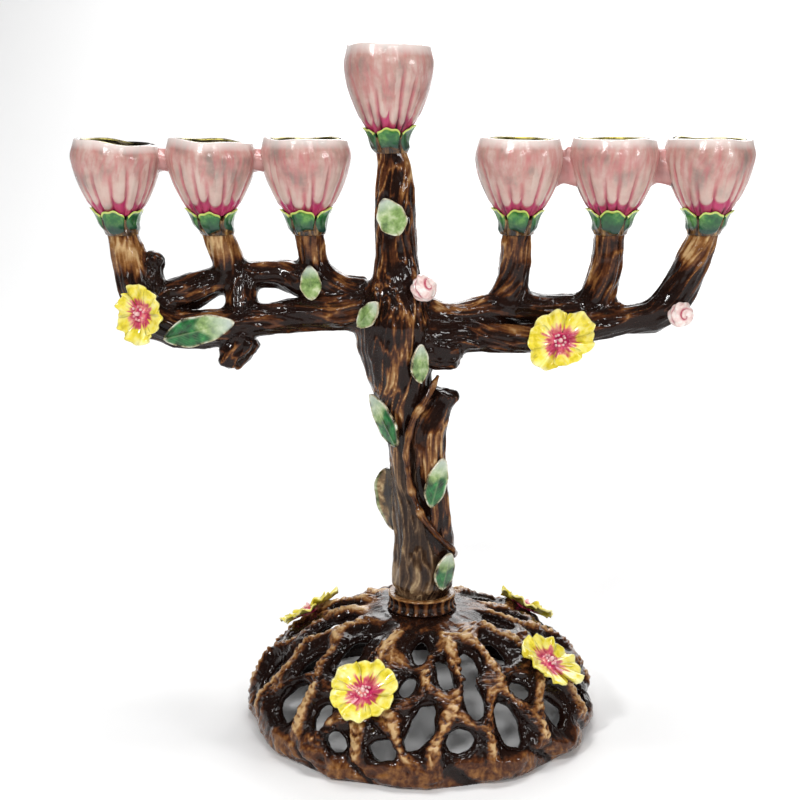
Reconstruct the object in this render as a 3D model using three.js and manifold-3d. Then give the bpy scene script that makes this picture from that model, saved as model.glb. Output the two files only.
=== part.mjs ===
// Tree-of-life candelabrum for seven candles, in modelled and glazed clay.
// A pierced dome of roots carries a bark-covered trunk. Two boughs on each side hold six
// tulip cups in one row, and the seventh cup stands on the trunk's own stem, 32 mm higher.
// Leaves, blossoms and rosebuds are modelled apart, and pegged to the bark and the roots.
// A screw from below clamps the trunk, its collar and the dome together.
//
// Millimetres, +Z up, -Y is the front. The origin is on the table, under the middle of the object.
import * as THREE from "three";
import { mergeVertices } from "three/addons/utils/BufferGeometryUtils.js";
import Module from "manifold-3d";

const wasm = await Module();
wasm.setup();

// ---------------------------------------------------------------- driving dimensions

const GAP = 0.3; // clearance between two pieces that meet
const SIDE_RIM_Z = 208; // rims of the six side cups
const CENTRE_RIM_Z = 240; // rim of the centre cup
const CUP_PITCH = 32; // from one side cup to the next
const OUTER_CUP_X = 100; // the outermost cups, left and right
const CENTRE_CUP_X = -8;
const SIDE_CUP_HEIGHT = 25;
const CENTRE_CUP_HEIGHT = 29.4;
const SOCKET_DEPTH = 17; // how deep a 20 mm candle sits
const SOCKET_MOUTH_R = 10.7;
const SOCKET_FLOOR_R = 9.9;
const LINER_WALL = 0.7;
const TENON_R = 2.6; // pin on top of each stem, inside its cup
const TENON_LENGTH = 3.5;
const FOOT_X = 3.6; // axis of the dome, the collar and the trunk's foot
const FOOT_Y = 0;
const DOME_TOP_Z = 41;
const DOME_WALL = 3.6;
const SCREW_R = 3;
const PEG_R = 0.9; // wire peg on the back of each leaf and blossom

// ---------------------------------------------------------------- materials

const finish = (color, roughness, metalness) =>
  new THREE.MeshStandardMaterial({ color, roughness, metalness });

const BARK = finish(0x3a2115, 0.25, 0.1);
const PETAL = finish(0xe3b3ab, 0.28, 0.0);
const CALYX = finish(0x2f6b35, 0.25, 0.0);
const BRASS = finish(0xb99a4a, 0.3, 1.0);
const LEAF = finish(0x7f9a63, 0.25, 0.0);
const YELLOW = finish(0xefdc4c, 0.28, 0.0);
const ROSE = finish(0xe8b9b4, 0.28, 0.0);
const STEEL = finish(0x9a9a9c, 0.35, 1.0);

// ---------------------------------------------------------------- solids and meshes

function solidOf(geometry) {
  const bare = geometry.index ? geometry.toNonIndexed() : geometry.clone();
  bare.deleteAttribute("normal");
  bare.deleteAttribute("uv");
  const merged = mergeVertices(bare, 1e-3);
  return new wasm.Manifold(
    new wasm.Mesh({
      numProp: 3,
      vertProperties: merged.attributes.position.array,
      triVerts: new Uint32Array(merged.index.array),
    }),
  );
}

function meshOf(name, solid, material) {
  const { vertProperties, triVerts } = solid.getMesh();
  const geometry = new THREE.BufferGeometry()
    .setAttribute("position", new THREE.BufferAttribute(vertProperties, 3))
    .setIndex(new THREE.BufferAttribute(triVerts, 1));
  geometry.computeVertexNormals();
  const mesh = new THREE.Mesh(geometry, material);
  mesh.name = name;
  return mesh;
}

// A round limb through points [x, y, z, radius]. Its rings stay square to its centreline, its
// ends are slightly domed unless flat is set, and grow makes it fatter and longer all round.
function limb(points, { sides = 8, grow = 0, flat = false, steps = 1 } = {}) {
  const line = new THREE.CatmullRomCurve3(points.map(([x, y, z]) => new THREE.Vector3(x, y, z)));
  const girth = new THREE.CatmullRomCurve3(points.map(([, , , r]) => new THREE.Vector3(r, 0, 0)));
  const rings = (points.length - 1) * steps + 1;
  const depth = new THREE.Vector3(0, 1, 0);
  const positions = [];
  const index = [];
  for (let i = 0; i < rings; i++) {
    const t = i / (rings - 1);
    const along = line.getTangent(t);
    const across = new THREE.Vector3().crossVectors(along, depth).normalize();
    const out = new THREE.Vector3().crossVectors(across, along);
    const end = i === 0 ? -grow : i === rings - 1 ? grow : 0;
    const centre = line.getPoint(t).addScaledVector(along, end);
    const radius = girth.getPoint(t).x + grow;
    for (let k = 0; k < sides; k++) {
      const a = (2 * Math.PI * (k + 0.5)) / sides;
      const p = centre
        .clone()
        .addScaledVector(across, radius * Math.cos(a))
        .addScaledVector(out, -radius * Math.sin(a));
      positions.push(p.x, p.y, p.z);
    }
    if (i === 0) continue;
    for (let k = 0; k < sides; k++) {
      const [a, b] = [(i - 1) * sides + k, (i - 1) * sides + ((k + 1) % sides)];
      index.push(a, b, a + sides, b, b + sides, a + sides);
    }
  }
  for (const [t, ring, turn] of [[0, 0, -1], [1, (rings - 1) * sides, 1]]) {
    const bulge = flat ? 0 : 0.25 * girth.getPoint(t).x;
    const tip = line.getPoint(t).addScaledVector(line.getTangent(t), turn * (grow + bulge));
    const apex = positions.length / 3;
    positions.push(tip.x, tip.y, tip.z);
    for (let k = 0; k < sides; k++) {
      const [a, b] = [ring + k, ring + ((k + 1) % sides)];
      index.push(...(turn > 0 ? [a, b, apex] : [b, a, apex]));
    }
  }
  return solidOf(
    new THREE.BufferGeometry()
      .setAttribute("position", new THREE.Float32BufferAttribute(positions, 3))
      .setIndex(index),
  );
}

// A turned solid about a vertical axis, from [radius, z] points that run upwards on the outside.
function turned(profile, segments, x = 0, y = 0, z = 0) {
  const lathe = new THREE.LatheGeometry(
    profile.map(([r, height]) => new THREE.Vector2(r, height)),
    segments,
  );
  return solidOf(lathe.rotateX(Math.PI / 2).translate(x, y, z));
}

function cylinder(radius, from, to, x, y, segments = 12) {
  return turned([[0, from], [radius, from], [radius, to], [0, to]], segments, x, y);
}

// Moves a geometry made in the XY plane, facing +Z, to a place where it faces the azimuth
// (0 is the front, 90 the right) and the pitch above the horizon, turned by spin in its plane.
function facing(geometry, { at, azimuth = 0, pitch = 0, spin = 0 }) {
  const rad = THREE.MathUtils.degToRad;
  return geometry
    .rotateZ(rad(spin))
    .rotateX(Math.PI / 2 - rad(pitch))
    .rotateZ(rad(azimuth))
    .translate(...at);
}

const group = new THREE.Group();
const add = (name, solid, material) => group.add(meshOf(name, solid, material));

// ---------------------------------------------------------------- cups, calyxes and liners

const LEFT_X = [-OUTER_CUP_X, -OUTER_CUP_X + CUP_PITCH, -OUTER_CUP_X + 2 * CUP_PITCH];
const RIGHT_X = LEFT_X.map((x) => -x).reverse();
const side = { rim: SIDE_RIM_Z, height: SIDE_CUP_HEIGHT };

// lean is where a stem's centre lies, against its cup's, 9 mm below the cup.
const CUPS = [
  { name: "left_outer", x: LEFT_X[0], lean: [1.7, 0], ...side },
  { name: "left_middle", x: LEFT_X[1], lean: [2.2, 1.2], ...side },
  { name: "left_inner", x: LEFT_X[2], lean: [1.0, 1.0], ...side },
  { name: "centre", x: CENTRE_CUP_X, lean: [1.3, 0], rim: CENTRE_RIM_Z, height: CENTRE_CUP_HEIGHT },
  { name: "right_inner", x: RIGHT_X[0], lean: [-0.7, 0.8], ...side },
  { name: "right_middle", x: RIGHT_X[1], lean: [-1.0, 0.8], ...side },
  { name: "right_outer", x: RIGHT_X[2], lean: [-1.4, 0], ...side },
];
const CUP_SEGMENTS = 16;
const CALYX_SIDES = 12;
const STEM_TOP_R = 5; // every stem where it enters its calyx
const LEAN_LENGTH = 9; // the calyx reaches this far below its cup, and leans with its stem
const LEAN_END = 3; // the topmost stretch stands upright

// Outside of a tulip cup as [radius, share of its height], from its foot to its rim.
const TULIP = [[7, 0], [9.6, 0.09], [12.6, 0.27], [14.9, 0.53], [15.2, 0.76], [13.6, 1]];

const cupOutside = (cup, grow = 0) => [
  [0, -cup.height - grow],
  ...TULIP.map(([r, share]) => [r + grow, cup.height * (share - 1) + (share ? 0 : -grow)]),
];

const cupHull = (cup) => turned([...cupOutside(cup, GAP), [0, 0]], CUP_SEGMENTS, cup.x, 0, cup.rim);

function petalCup(cup) {
  const foot = -cup.height;
  const peg = TENON_R + GAP;
  const [, , ...outside] = cupOutside(cup);
  return turned(
    [
      [0, foot + TENON_LENGTH + GAP],
      [peg, foot + TENON_LENGTH + GAP],
      [peg, foot],
      [TULIP[0][0], foot],
      ...outside,
      [SOCKET_MOUTH_R + LINER_WALL + GAP, 0],
      [SOCKET_FLOOR_R + LINER_WALL + GAP, -SOCKET_DEPTH - LINER_WALL - GAP],
      [0, -SOCKET_DEPTH - LINER_WALL - GAP],
    ],
    CUP_SEGMENTS,
    cup.x,
    0,
    cup.rim,
  );
}

function candleLiner(cup) {
  const lip = { r: SOCKET_MOUTH_R + 1.9, z: GAP, thick: 0.7 };
  return turned(
    [
      [0, -SOCKET_DEPTH - LINER_WALL],
      [SOCKET_FLOOR_R + LINER_WALL, -SOCKET_DEPTH - LINER_WALL],
      [SOCKET_MOUTH_R + LINER_WALL, lip.z],
      [lip.r, lip.z],
      [lip.r, lip.z + lip.thick],
      [SOCKET_MOUTH_R, lip.z + lip.thick],
      [SOCKET_FLOOR_R, -SOCKET_DEPTH],
      [0, -SOCKET_DEPTH],
    ],
    CUP_SEGMENTS,
    cup.x,
    0,
    cup.rim,
  );
}

// The green collar wraps the stem's top and the cup's foot, and follows the stem's lean.
function calyx(cup) {
  const foot = cup.rim - cup.height;
  const clear = (r) => (r + GAP) / Math.cos(Math.PI / CALYX_SIDES);
  const collar = new THREE.LatheGeometry(
    [
      [clear(STEM_TOP_R + 0.2), -LEAN_LENGTH],
      [6.7, -LEAN_LENGTH],
      [6.7, -6.4],
      [7.3, -LEAN_END],
      [8.8, 0],
      [9.9, 1.3],
      [clear(8.5), 1.3],
      [clear(TULIP[0][0]), -GAP],
      [clear(STEM_TOP_R), -GAP],
      [clear(STEM_TOP_R), -LEAN_END],
      [clear(STEM_TOP_R + 0.2), -LEAN_LENGTH],
    ].map(([r, z]) => new THREE.Vector2(r, z)),
    CALYX_SIDES,
  ).rotateX(Math.PI / 2);
  const points = collar.attributes.position;
  for (let i = 0; i < points.count; i++) {
    const depth = Math.min(0, points.getZ(i) + LEAN_END) / (LEAN_END - LEAN_LENGTH);
    const [dx, dy] = cup.lean;
    points.setXY(i, points.getX(i) + depth * dx, points.getY(i) + depth * dy);
  }
  return solidOf(collar.translate(cup.x, 0, foot));
}

// The last stretch of a stem straightens up, and carries a tenon into its cup's foot.
const stemTop = (cup) => {
  const foot = cup.rim - cup.height;
  const [dx, dy] = cup.lean;
  return [
    [cup.x + dx, dy, foot - LEAN_LENGTH, STEM_TOP_R],
    [cup.x, 0, foot - LEAN_END, STEM_TOP_R],
    [cup.x, 0, foot - GAP, STEM_TOP_R],
  ];
};
const tenon = (cup) => {
  const foot = cup.rim - cup.height;
  return cylinder(TENON_R, foot - 1, foot + TENON_LENGTH, cup.x, 0, 8);
};
const cupNamed = (name) => CUPS.find((cup) => cup.name === name);

// ---------------------------------------------------------------- trunk and boughs

// Each limb is a list of [x, y, z, radius], and a stem ends under its cup.
const TRUNK = [
  [FOOT_X, FOOT_Y, 41.3, 8.6],
  [FOOT_X, FOOT_Y, 47.6, 8.6],
  [3.9, 0, 50.5, 10.6],
  [3.9, 0, 58, 10.6],
  [3.0, 0, 67, 9.3],
  [1.6, 0, 78, 8.4],
  [0.8, 0, 90, 8.0],
  [0.2, 0, 101, 8.4],
  [-1.4, 0, 112, 9.2],
  [-3.2, 0, 122, 10.2],
  [-4.8, 0, 130, 11.2],
  [-6.2, 0, 138, 12.8],
  [-6.6, 0, 146, 13.2],
  [-5.8, 0, 154, 11.6],
  [-5.5, 0, 161, 8.6],
  [-5.5, 0, 169, 6.8],
  [-6.0, 0, 181, 6.7],
  [-5.8, 0, 192, 6.3],
  ...stemTop(cupNamed("centre")),
];
const SIDE_STEM = [
  [10.5, -2.5, 59, 3.6],
  [9.6, -4.6, 67, 4.8],
  [8.4, -5.6, 78, 5.0],
  [7.2, -6.0, 89, 5.2],
  [6.4, -6.0, 100, 5.3],
  [6.8, -5.8, 110, 5.2],
  [9.0, -5.4, 117, 4.8],
  [11.6, -5.2, 122, 4.2],
];
const VINE = [
  [13.8, 5.0, 58, 1.2],
  [15.0, 0.5, 61, 1.5],
  [14.0, -6.0, 65, 1.7],
  [10.0, -10.0, 70, 1.8],
  [4.5, -11.2, 77, 1.8],
  [0.4, -9.8, 86, 1.7],
  [-1.6, -9.6, 96, 1.7],
  [-1.6, -10.4, 106, 1.7],
  [1.0, -11.2, 115, 1.7],
  [5.4, -9.6, 122, 1.6],
  [8.8, -6.0, 128, 1.4],
];
const LEFT_BOUGH = [
  [-10, 0, 151, 7.4],
  [-22, -0.6, 149.4, 6.3],
  [-32, -1.6, 148.8, 5.8],
  [-42, -2.6, 148.4, 5.5],
  [-52, -3.2, 147.2, 5.3],
  [-62, -3.4, 145.2, 5.9],
  [-72, -3.6, 143.8, 6.4],
  [-81, -3.2, 143.6, 6.2],
  [-88, -2.6, 146.4, 6.2],
  [-92.4, -1.8, 152, 6.6],
  [-94.6, -1.2, 159, 6.8],
  [-96.4, -0.6, 166.5, 6.2],
  ...stemTop(cupNamed("left_outer")),
];
const LEFT_UPPER = [
  [-17, 2.8, 155.2, 5.6],
  [-23.5, 3, 156, 5.2],
  [-32, 3.2, 159.8, 6.2],
  [-38.5, 3.4, 160, 6.2],
  [-46, 3.6, 161.9, 4.7],
  [-58, 3.8, 161.4, 4.8],
  [-68, 3.4, 159.4, 4.9],
  [-76, 2.2, 156.2, 6.2],
  [-83, 0.6, 155, 5.6],
  [-88, -1.2, 151.4, 4.8],
];
const LEFT_UPPER_WEB = [
  [-58.4, -2.6, 147, 5.6],
  [-58.8, 0, 153, 5.2],
  [-59.4, 3.4, 160, 5.6],
];
const LEFT_MIDDLE_STEM = [
  [-62.4, 3.6, 161, 5.4],
  [-63.6, 2.8, 167.5, 5.2],
  ...stemTop(cupNamed("left_middle")),
];
const LEFT_INNER_STEM = [
  [-32.6, 3.2, 160.5, 5.6],
  [-34.2, 2.4, 167, 4.7],
  ...stemTop(cupNamed("left_inner")),
];
const RIGHT_BOUGH = [
  [0, -1.6, 141, 6.6],
  [13, -2.8, 141, 5.6],
  [23, -3.4, 140.8, 4.9],
  [32, -3.8, 140.6, 4.7],
  [41, -3.8, 140.8, 4.7],
  [51, -3.4, 142, 5],
  [62, -2.4, 145, 5],
  [74, -1.2, 147, 4.8],
  [82, -0.6, 147.8, 5.8],
  [88, 0, 151.6, 6.2],
  [92.4, 0, 158, 6.0],
  [95.6, 0, 165.2, 5.6],
  ...stemTop(cupNamed("right_outer")),
];
const RIGHT_UPPER = [
  [0, 1, 149, 7.2],
  [12, 1.6, 146.4, 4.9],
  [22, 2.2, 148.4, 5.2],
  [32, 2.8, 150.4, 5.8],
  [44, 2.8, 149.8, 5.2],
  [54, 2.6, 149.8, 5],
  [63, 2.2, 150.4, 5],
  [71, 1, 148.6, 4],
];
const RIGHT_INNER_STEM = [
  [33, 2.8, 152, 6.6],
  [34.6, 2.2, 160, 5.3],
  [35.4, 1.4, 167, 5.2],
  ...stemTop(cupNamed("right_inner")),
];
const RIGHT_MIDDLE_STEM = [
  [63.4, 2.4, 151.4, 6.4],
  [65, 2, 158.6, 5.6],
  [66.6, 1.4, 165, 5.2],
  ...stemTop(cupNamed("right_middle")),
];
const LEFT_STUB = [
  [-57.8, -3.6, 141, 6],
  [-60.6, -4.2, 136.4, 5.2],
  [-63.8, -4.8, 131.6, 3.8],
];
const LEFT_SPUR = [
  [-91.6, -1.6, 155, 5],
  [-89.4, -1.8, 162, 4],
  [-87.6, -1.8, 168.6, 2.6],
];
const BURR = [
  [5, -3.4, 137.4, 6.6],
  [10.6, -4.2, 136.2, 6],
  [15.8, -4.8, 135.2, 4.6],
];

const fat = (points) => limb(points, { grow: GAP });
const cut = (solid, ...tools) => tools.reduce((rest, tool) => rest.subtract(tool), solid);

// ---------------------------------------------------------------- leaves

// A pointed leaf in the XY plane, its tip along +Y, on a peg that runs into the bark.
function leaf({ length, width, peg = 4, ...place }, grow = 0) {
  const half = length / 2;
  const bulge = width * 0.62;
  const outline = new THREE.Shape()
    .moveTo(0, -half)
    .quadraticCurveTo(bulge, -half * 0.55, width / 2, 0)
    .quadraticCurveTo(bulge * 0.8, half * 0.55, 0, half)
    .quadraticCurveTo(-bulge * 0.8, half * 0.55, -width / 2, 0)
    .quadraticCurveTo(-bulge, -half * 0.55, 0, -half);
  const blade = new THREE.ExtrudeGeometry(outline, { depth: LEAF_THICK, bevelEnabled: false, curveSegments: 3 });
  const wire = new THREE.CylinderGeometry(PEG_R + grow, PEG_R + grow, peg + grow, 6)
    .rotateX(Math.PI / 2)
    .translate(0, 0, -(peg + grow) / 2 + 0.2);
  const pin = solidOf(facing(wire, place));
  return grow ? pin : solidOf(facing(blade, place)).add(pin);
}
const LEAF_THICK = 1.3;

const LEAVES = {
  leaf_centre_stem: { at: [-7.2, -7.6, 183], azimuth: -4, spin: 24, length: 13.5, width: 9.6 },
  leaf_left_stem: { at: [-34.8, -3.6, 160], azimuth: 0, pitch: 6, spin: 4, length: 12, width: 7 },
  leaf_fork_left: { at: [-14.6, -12.2, 150.6], azimuth: -38, pitch: 4, spin: -42, length: 12.5, width: 6.6 },
  leaf_fork_right: { at: [2.2, -10.9, 133.4], azimuth: 36, spin: 0, length: 13.6, width: 7.0 },
  leaf_trunk_left: { at: [-9.4, -7.6, 112.6], azimuth: -46, spin: 38, length: 21, width: 8.4 },
  leaf_trunk_right: { at: [8.2, -11.2, 91.2], azimuth: 26, spin: -16, length: 18, width: 8 },
  leaf_trunk_foot: { at: [11.2, -9.2, 58], azimuth: 44, spin: -18, length: 13.5, width: 9 },
  leaf_left_bough: { at: [-72.4, -10.8, 145], azimuth: 0, pitch: -6, spin: -76, length: 25, width: 10 },
  bract_trunk_back: { at: [-9, 2.6, 81.6], azimuth: -48, spin: 176, length: 21, width: 9 },
};

// ---------------------------------------------------------------- blossoms and rosebuds

// A six-petalled blossom: a shallow lobed dish with a raised eye, on a peg.
function blossom({ radius, peg = 4, ...place }, grow = 0) {
  const wire = new THREE.CylinderGeometry(PEG_R + grow, PEG_R + grow, peg + grow, 6)
    .rotateX(Math.PI / 2)
    .translate(0, 0, -(peg + grow) / 2 + 0.5);
  const pin = solidOf(facing(wire, place));
  if (grow) return pin;
  const dish = new THREE.LatheGeometry(
    [[0, 0], [3, 0], [radius, 3.4], [radius - 0.6, 4.6], [3.2, 1.8], [1.6, 4.2], [0, 4.6]].map(
      ([r, z]) => new THREE.Vector2(r, z),
    ),
    PETAL_COUNT * 3,
  ).rotateX(Math.PI / 2);
  const points = dish.attributes.position;
  for (let i = 0; i < points.count; i++) {
    const [x, y] = [points.getX(i), points.getY(i)];
    const share = Math.min(1, Math.hypot(x, y) / radius);
    const lobe = 1 + 0.12 * share * (Math.cos(PETAL_COUNT * Math.atan2(y, x)) - 0.6);
    points.setXY(i, x * lobe, y * lobe);
  }
  return solidOf(facing(dish, place)).add(pin);
}
const PETAL_COUNT = 6;

const ROOT_BLOSSOM_R = 12.6; // radius of the four blossoms on the roots
const BOUGH_BLOSSOM_R = 11.5;

// ---------------------------------------------------------------- root dome

// Outside and inside of the dome as [radius, z], from the table to the middle.
const DOME_OUTSIDE = [[59.8, 0], [61.4, 3], [62.2, 8], [61, 13], [57.4, 19.4], [51, 26], [43, 31.4], [34, 35.6], [25, 38.6], [14, 41]];
const DOME_INSIDE = [[12, 37.4], [30, 33.4], [46, 25], [55, 15.2], [57.6, 8], [56.2, 0]];
const DOME_WIDEST_Z = 8;
const DOME_SEGMENTS = 36;
const LOBES = 12; // the foot's edge swells a little where a root runs into it
const LOBE_DEPTH = 0.9;

// Where the dome's outside lies at a distance from its axis: its height, and its slope in degrees.
function domeAt(r) {
  const upper = DOME_OUTSIDE.findIndex(([edge, z]) => z > DOME_WIDEST_Z && edge < r);
  const [[r0, z0], [r1, z1]] = [DOME_OUTSIDE[upper - 1], DOME_OUTSIDE[upper]];
  const z = z0 + ((z1 - z0) * (r0 - r)) / (r0 - r1);
  return { z, slope: THREE.MathUtils.radToDeg(Math.atan2(z1 - z0, r0 - r1)) };
}

// A place on the dome, facing out along its surface normal and lifted off it.
function onDome(azimuth, r, lift = 0) {
  const { z, slope } = domeAt(r);
  const [a, tilt] = [azimuth, slope].map(THREE.MathUtils.degToRad);
  const out = r + lift * Math.sin(tilt);
  return {
    at: [FOOT_X + out * Math.sin(a), FOOT_Y - out * Math.cos(a), z + lift * Math.cos(tilt)],
    azimuth,
    pitch: 90 - slope,
  };
}

// Windows between the front roots: [azimuth, distance from the axis, width, height, spin].
const FRONT_WINDOWS = [
  [0, 29.5, 5.5, 13, 0],
  [11, 40, 6.5, 14, 4],
  [25, 38.5, 7, 14, -10],
  [20.5, 48.5, 7.5, 15, -10],
  [-1, 55.6, 9.5, 18, -28],
  [12, 59.2, 10, 9, 0],
  [31, 57.4, 9, 16, 2],
  [42, 50.5, 9.5, 8.5, 0],
  [45, 36, 8, 11, 0],
  [-45, 35.5, 7, 19, 3],
  [-60, 46, 7, 15, 0],
  [-55, 57.4, 11, 14.5, -6],
  [-38, 57, 7, 12, 8],
  [-30, 60.6, 9.5, 7.5, 0],
  [-13, 60.6, 10, 8, -14],
  [-7, 43.6, 5.5, 9, -14],
  [53, 58.8, 8, 11, 8],
  [81, 27.5, 7, 11, 0],
  [88, 44, 6, 14, 6],
  [77, 58.6, 7.5, 11, -8],
  [-88, 32, 6, 17, 0],
  [-82, 56, 7.5, 15, -14],
];

function windowCutter([azimuth, r, width, height, spin]) {
  const hole = new THREE.CylinderGeometry(1, 1, 4 * DOME_WALL, 8)
    .rotateX(Math.PI / 2)
    .scale(width / 2, height / 2, 1);
  return solidOf(facing(hole, { ...onDome(azimuth, r), spin }));
}

// Behind, the windows stand in three rows, and each drifts a little from its even place.
function backWindows() {
  const rows = [
    { r: 31, count: 6, from: 106, to: 252, width: 6, height: 13 },
    { r: 45, count: 7, from: 108, to: 264, width: 6.5, height: 13 },
    { r: 57, count: 9, from: 108, to: 258, width: 8.5, height: 12 },
  ];
  return rows.flatMap(({ r, count, from, to, width, height }) =>
    Array.from({ length: count }, (_, i) => {
      const azimuth = from + ((to - from) * (i + 0.3 * Math.sin(5 * i + r))) / (count - 1);
      return [azimuth, r + 1.2 * Math.cos(3 * i), width, height, 22 * Math.sin(2.3 * i + r)];
    }),
  );
}

// Where the four blossoms stand. No window opens under one.
const ROOT_BLOSSOMS = [
  { azimuth: -23, r: 49.8 },
  { azimuth: 62, r: 48.6 },
  { azimuth: 125, r: 47 },
  { azimuth: 242, r: 46 },
];
const clearOfBlossoms = ([azimuth, r]) =>
  ROOT_BLOSSOMS.every((b) => {
    const turn = THREE.MathUtils.degToRad(azimuth - b.azimuth);
    return Math.hypot(r * Math.sin(turn), r * Math.cos(turn) - b.r) > 7.5;
  });

function rootDome(pegs) {
  const outside = DOME_OUTSIDE.concat([[0, DOME_TOP_Z]]);
  const inside = [
    [0, DOME_TOP_Z - DOME_WALL],
    ...DOME_INSIDE,
  ];
  const shell = new THREE.LatheGeometry(
    [...inside, ...outside].map(([r, z]) => new THREE.Vector2(r, z)),
    DOME_SEGMENTS,
  ).rotateX(Math.PI / 2);
  const points = shell.attributes.position;
  for (let i = 0; i < points.count; i++) {
    const [x, y, z] = [points.getX(i), points.getY(i), points.getZ(i)];
    const low = Math.max(0, 1 - z / 20);
    const swell = 1 + (low * LOBE_DEPTH * Math.cos(LOBES * Math.atan2(y, x))) / 60;
    points.setXY(i, x * swell, y * swell);
  }
  const holes = [...FRONT_WINDOWS, ...backWindows()].filter(clearOfBlossoms).map(windowCutter);
  return cut(
    solidOf(shell.translate(FOOT_X, FOOT_Y, 0)),
    ...holes,
    ...pegs,
    cylinder(SCREW_R + GAP, 30, 50, FOOT_X, FOOT_Y),
  );
}

// ---------------------------------------------------------------- assembly

// Wood: each limb is cut back from the limb that it grows out of, and from every peg in it.
const leafPins = Object.values(LEAVES).map((place) => leaf(place, GAP));
const BOUGH_BLOSSOMS = {
  blossom_left_bough: { at: [-91.4, -10, 150.4], azimuth: -30, pitch: 8, spin: 12, radius: BOUGH_BLOSSOM_R - 1 },
  blossom_right_bough: { at: [50, -9.8, 140.6], azimuth: 2, pitch: 22, spin: 20, radius: BOUGH_BLOSSOM_R },
};
const boughPins = Object.values(BOUGH_BLOSSOMS).map((place) => blossom(place, GAP));
const pins = [...leafPins, ...boughPins];

const screwHole = cylinder(SCREW_R + GAP, 38, 58, FOOT_X, FOOT_Y);
const trunk = cut(
  limb(TRUNK, { sides: 12, flat: true }).add(tenon(cupNamed("centre"))),
  fat(LEFT_BOUGH),
  fat(LEFT_UPPER),
  fat(RIGHT_BOUGH),
  fat(RIGHT_UPPER),
  screwHole,
  ...pins,
);
const trunkFat = limb(TRUNK, { sides: 12, flat: true, grow: GAP });
const leftBough = cut(limb(LEFT_BOUGH, { flat: true }).add(tenon(cupNamed("left_outer"))), ...pins);
const rightBough = cut(limb(RIGHT_BOUGH, { flat: true }).add(tenon(cupNamed("right_outer"))), ...pins);
const leftUpper = cut(
  limb(LEFT_UPPER)
    .add(limb(LEFT_MIDDLE_STEM, { flat: true }))
    .add(limb(LEFT_INNER_STEM, { flat: true }))
    .add(limb(LEFT_UPPER_WEB))
    .add(tenon(cupNamed("left_middle")))
    .add(tenon(cupNamed("left_inner"))),
  fat(LEFT_BOUGH),
  ...pins,
);
const rightUpper = cut(
  limb(RIGHT_UPPER)
    .add(limb(RIGHT_INNER_STEM, { flat: true }))
    .add(limb(RIGHT_MIDDLE_STEM, { flat: true }))
    .add(tenon(cupNamed("right_inner")))
    .add(tenon(cupNamed("right_middle"))),
  fat(RIGHT_BOUGH),
  ...pins,
);
const sideStem = cut(limb(SIDE_STEM), trunkFat, ...pins);
const vine = cut(limb(VINE, { sides: 6 }), trunkFat, fat(SIDE_STEM));
const leftStub = cut(limb(LEFT_STUB), fat(LEFT_BOUGH));
const leftSpur = cut(limb(LEFT_SPUR), fat(LEFT_BOUGH), fat(LEFT_UPPER));
const burr = cut(limb(BURR), trunkFat, fat(RIGHT_BOUGH), ...pins);

const collarProfile = [[9.1, 41.3], [12.1, 41.3], [11.5, 44.2], [11.8, 47.1], [9.1, 47.1], [9.1, 41.3]];
const woodFat = [
  trunkFat,
  fat(LEFT_BOUGH),
  fat(LEFT_UPPER),
  fat(LEFT_INNER_STEM),
  fat(RIGHT_BOUGH),
  fat(SIDE_STEM),
  fat(VINE),
  fat(BURR),
];

const rootPegs = [];
ROOT_BLOSSOMS.forEach(({ azimuth, r }, i) => {
  const place = { ...onDome(azimuth, r, 0.9), spin: 17 * i, radius: ROOT_BLOSSOM_R, peg: 4.4 };
  rootPegs.push(blossom(place, GAP));
  add(`blossom_root_${i + 1}`, blossom(place), YELLOW);
});

add("root_dome", rootDome(rootPegs), BARK);
add("trunk_collar", turned(collarProfile, 16, FOOT_X, FOOT_Y), BARK);
add("clamp_washer", turned([[3.6, 35.7], [8, 35.7], [8, 36.5], [3.6, 36.5], [3.6, 35.7]], 16, FOOT_X, FOOT_Y), STEEL);
add(
  "clamp_screw",
  turned([[0, 32], [5.4, 32], [5.4, 35.4], [SCREW_R, 35.4], [SCREW_R, 56], [0, 57]], 12, FOOT_X, FOOT_Y),
  STEEL,
);
add("trunk", trunk, BARK);
add("side_stem", sideStem, BARK);
add("twining_vine", vine, BARK);
add("burr_knot", burr, BARK);
add("left_bough", leftBough, BARK);
add("left_upper_limb", leftUpper, BARK);
add("left_stub", leftStub, BARK);
add("left_spur", leftSpur, BARK);
add("right_bough", rightBough, BARK);
add("right_upper_limb", rightUpper, BARK);

for (const cup of CUPS) {
  add(`petal_cup_${cup.name}`, petalCup(cup), PETAL);
  add(`candle_liner_${cup.name}`, candleLiner(cup), BRASS);
  add(`calyx_${cup.name}`, calyx(cup), CALYX);
}

// Between neighbouring cups a short web ties the row together.
for (const [from, to] of [[0, 1], [1, 2], [4, 5], [5, 6]]) {
  const drop = from < 3 ? 7 : 9.4;
  const z = SIDE_RIM_Z - drop;
  const half = from < 3 ? 4.6 : 6.4;
  const middle = (CUPS[from].x + CUPS[to].x) / 2;
  const web = limb([[middle - 4, 0, z, half], [middle + 4, 0, z, half]], { flat: true });
  add(`petal_web_${CUPS[from].name}`, cut(web, cupHull(CUPS[from]), cupHull(CUPS[to])), PETAL);
}

for (const [name, place] of Object.entries(LEAVES)) {
  const blade = leaf(place);
  add(name, cut(blade, ...woodFat), LEAF);
}
for (const [name, place] of Object.entries(BOUGH_BLOSSOMS)) add(name, blossom(place), YELLOW);

const rosebud = (radius, place) =>
  solidOf(facing(new THREE.SphereGeometry(radius, 10, 6).scale(1, 1, 0.85), place));
add("rosebud_fork", cut(rosebud(4.6, { at: [3.8, -8.8, 159], azimuth: 40, pitch: 20 }), ...woodFat), ROSE);
add("rosebud_right_bough", cut(rosebud(4.4, { at: [91.6, -6.4, 149.4], azimuth: 20 }), ...woodFat), ROSE);

export default group;
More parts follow.
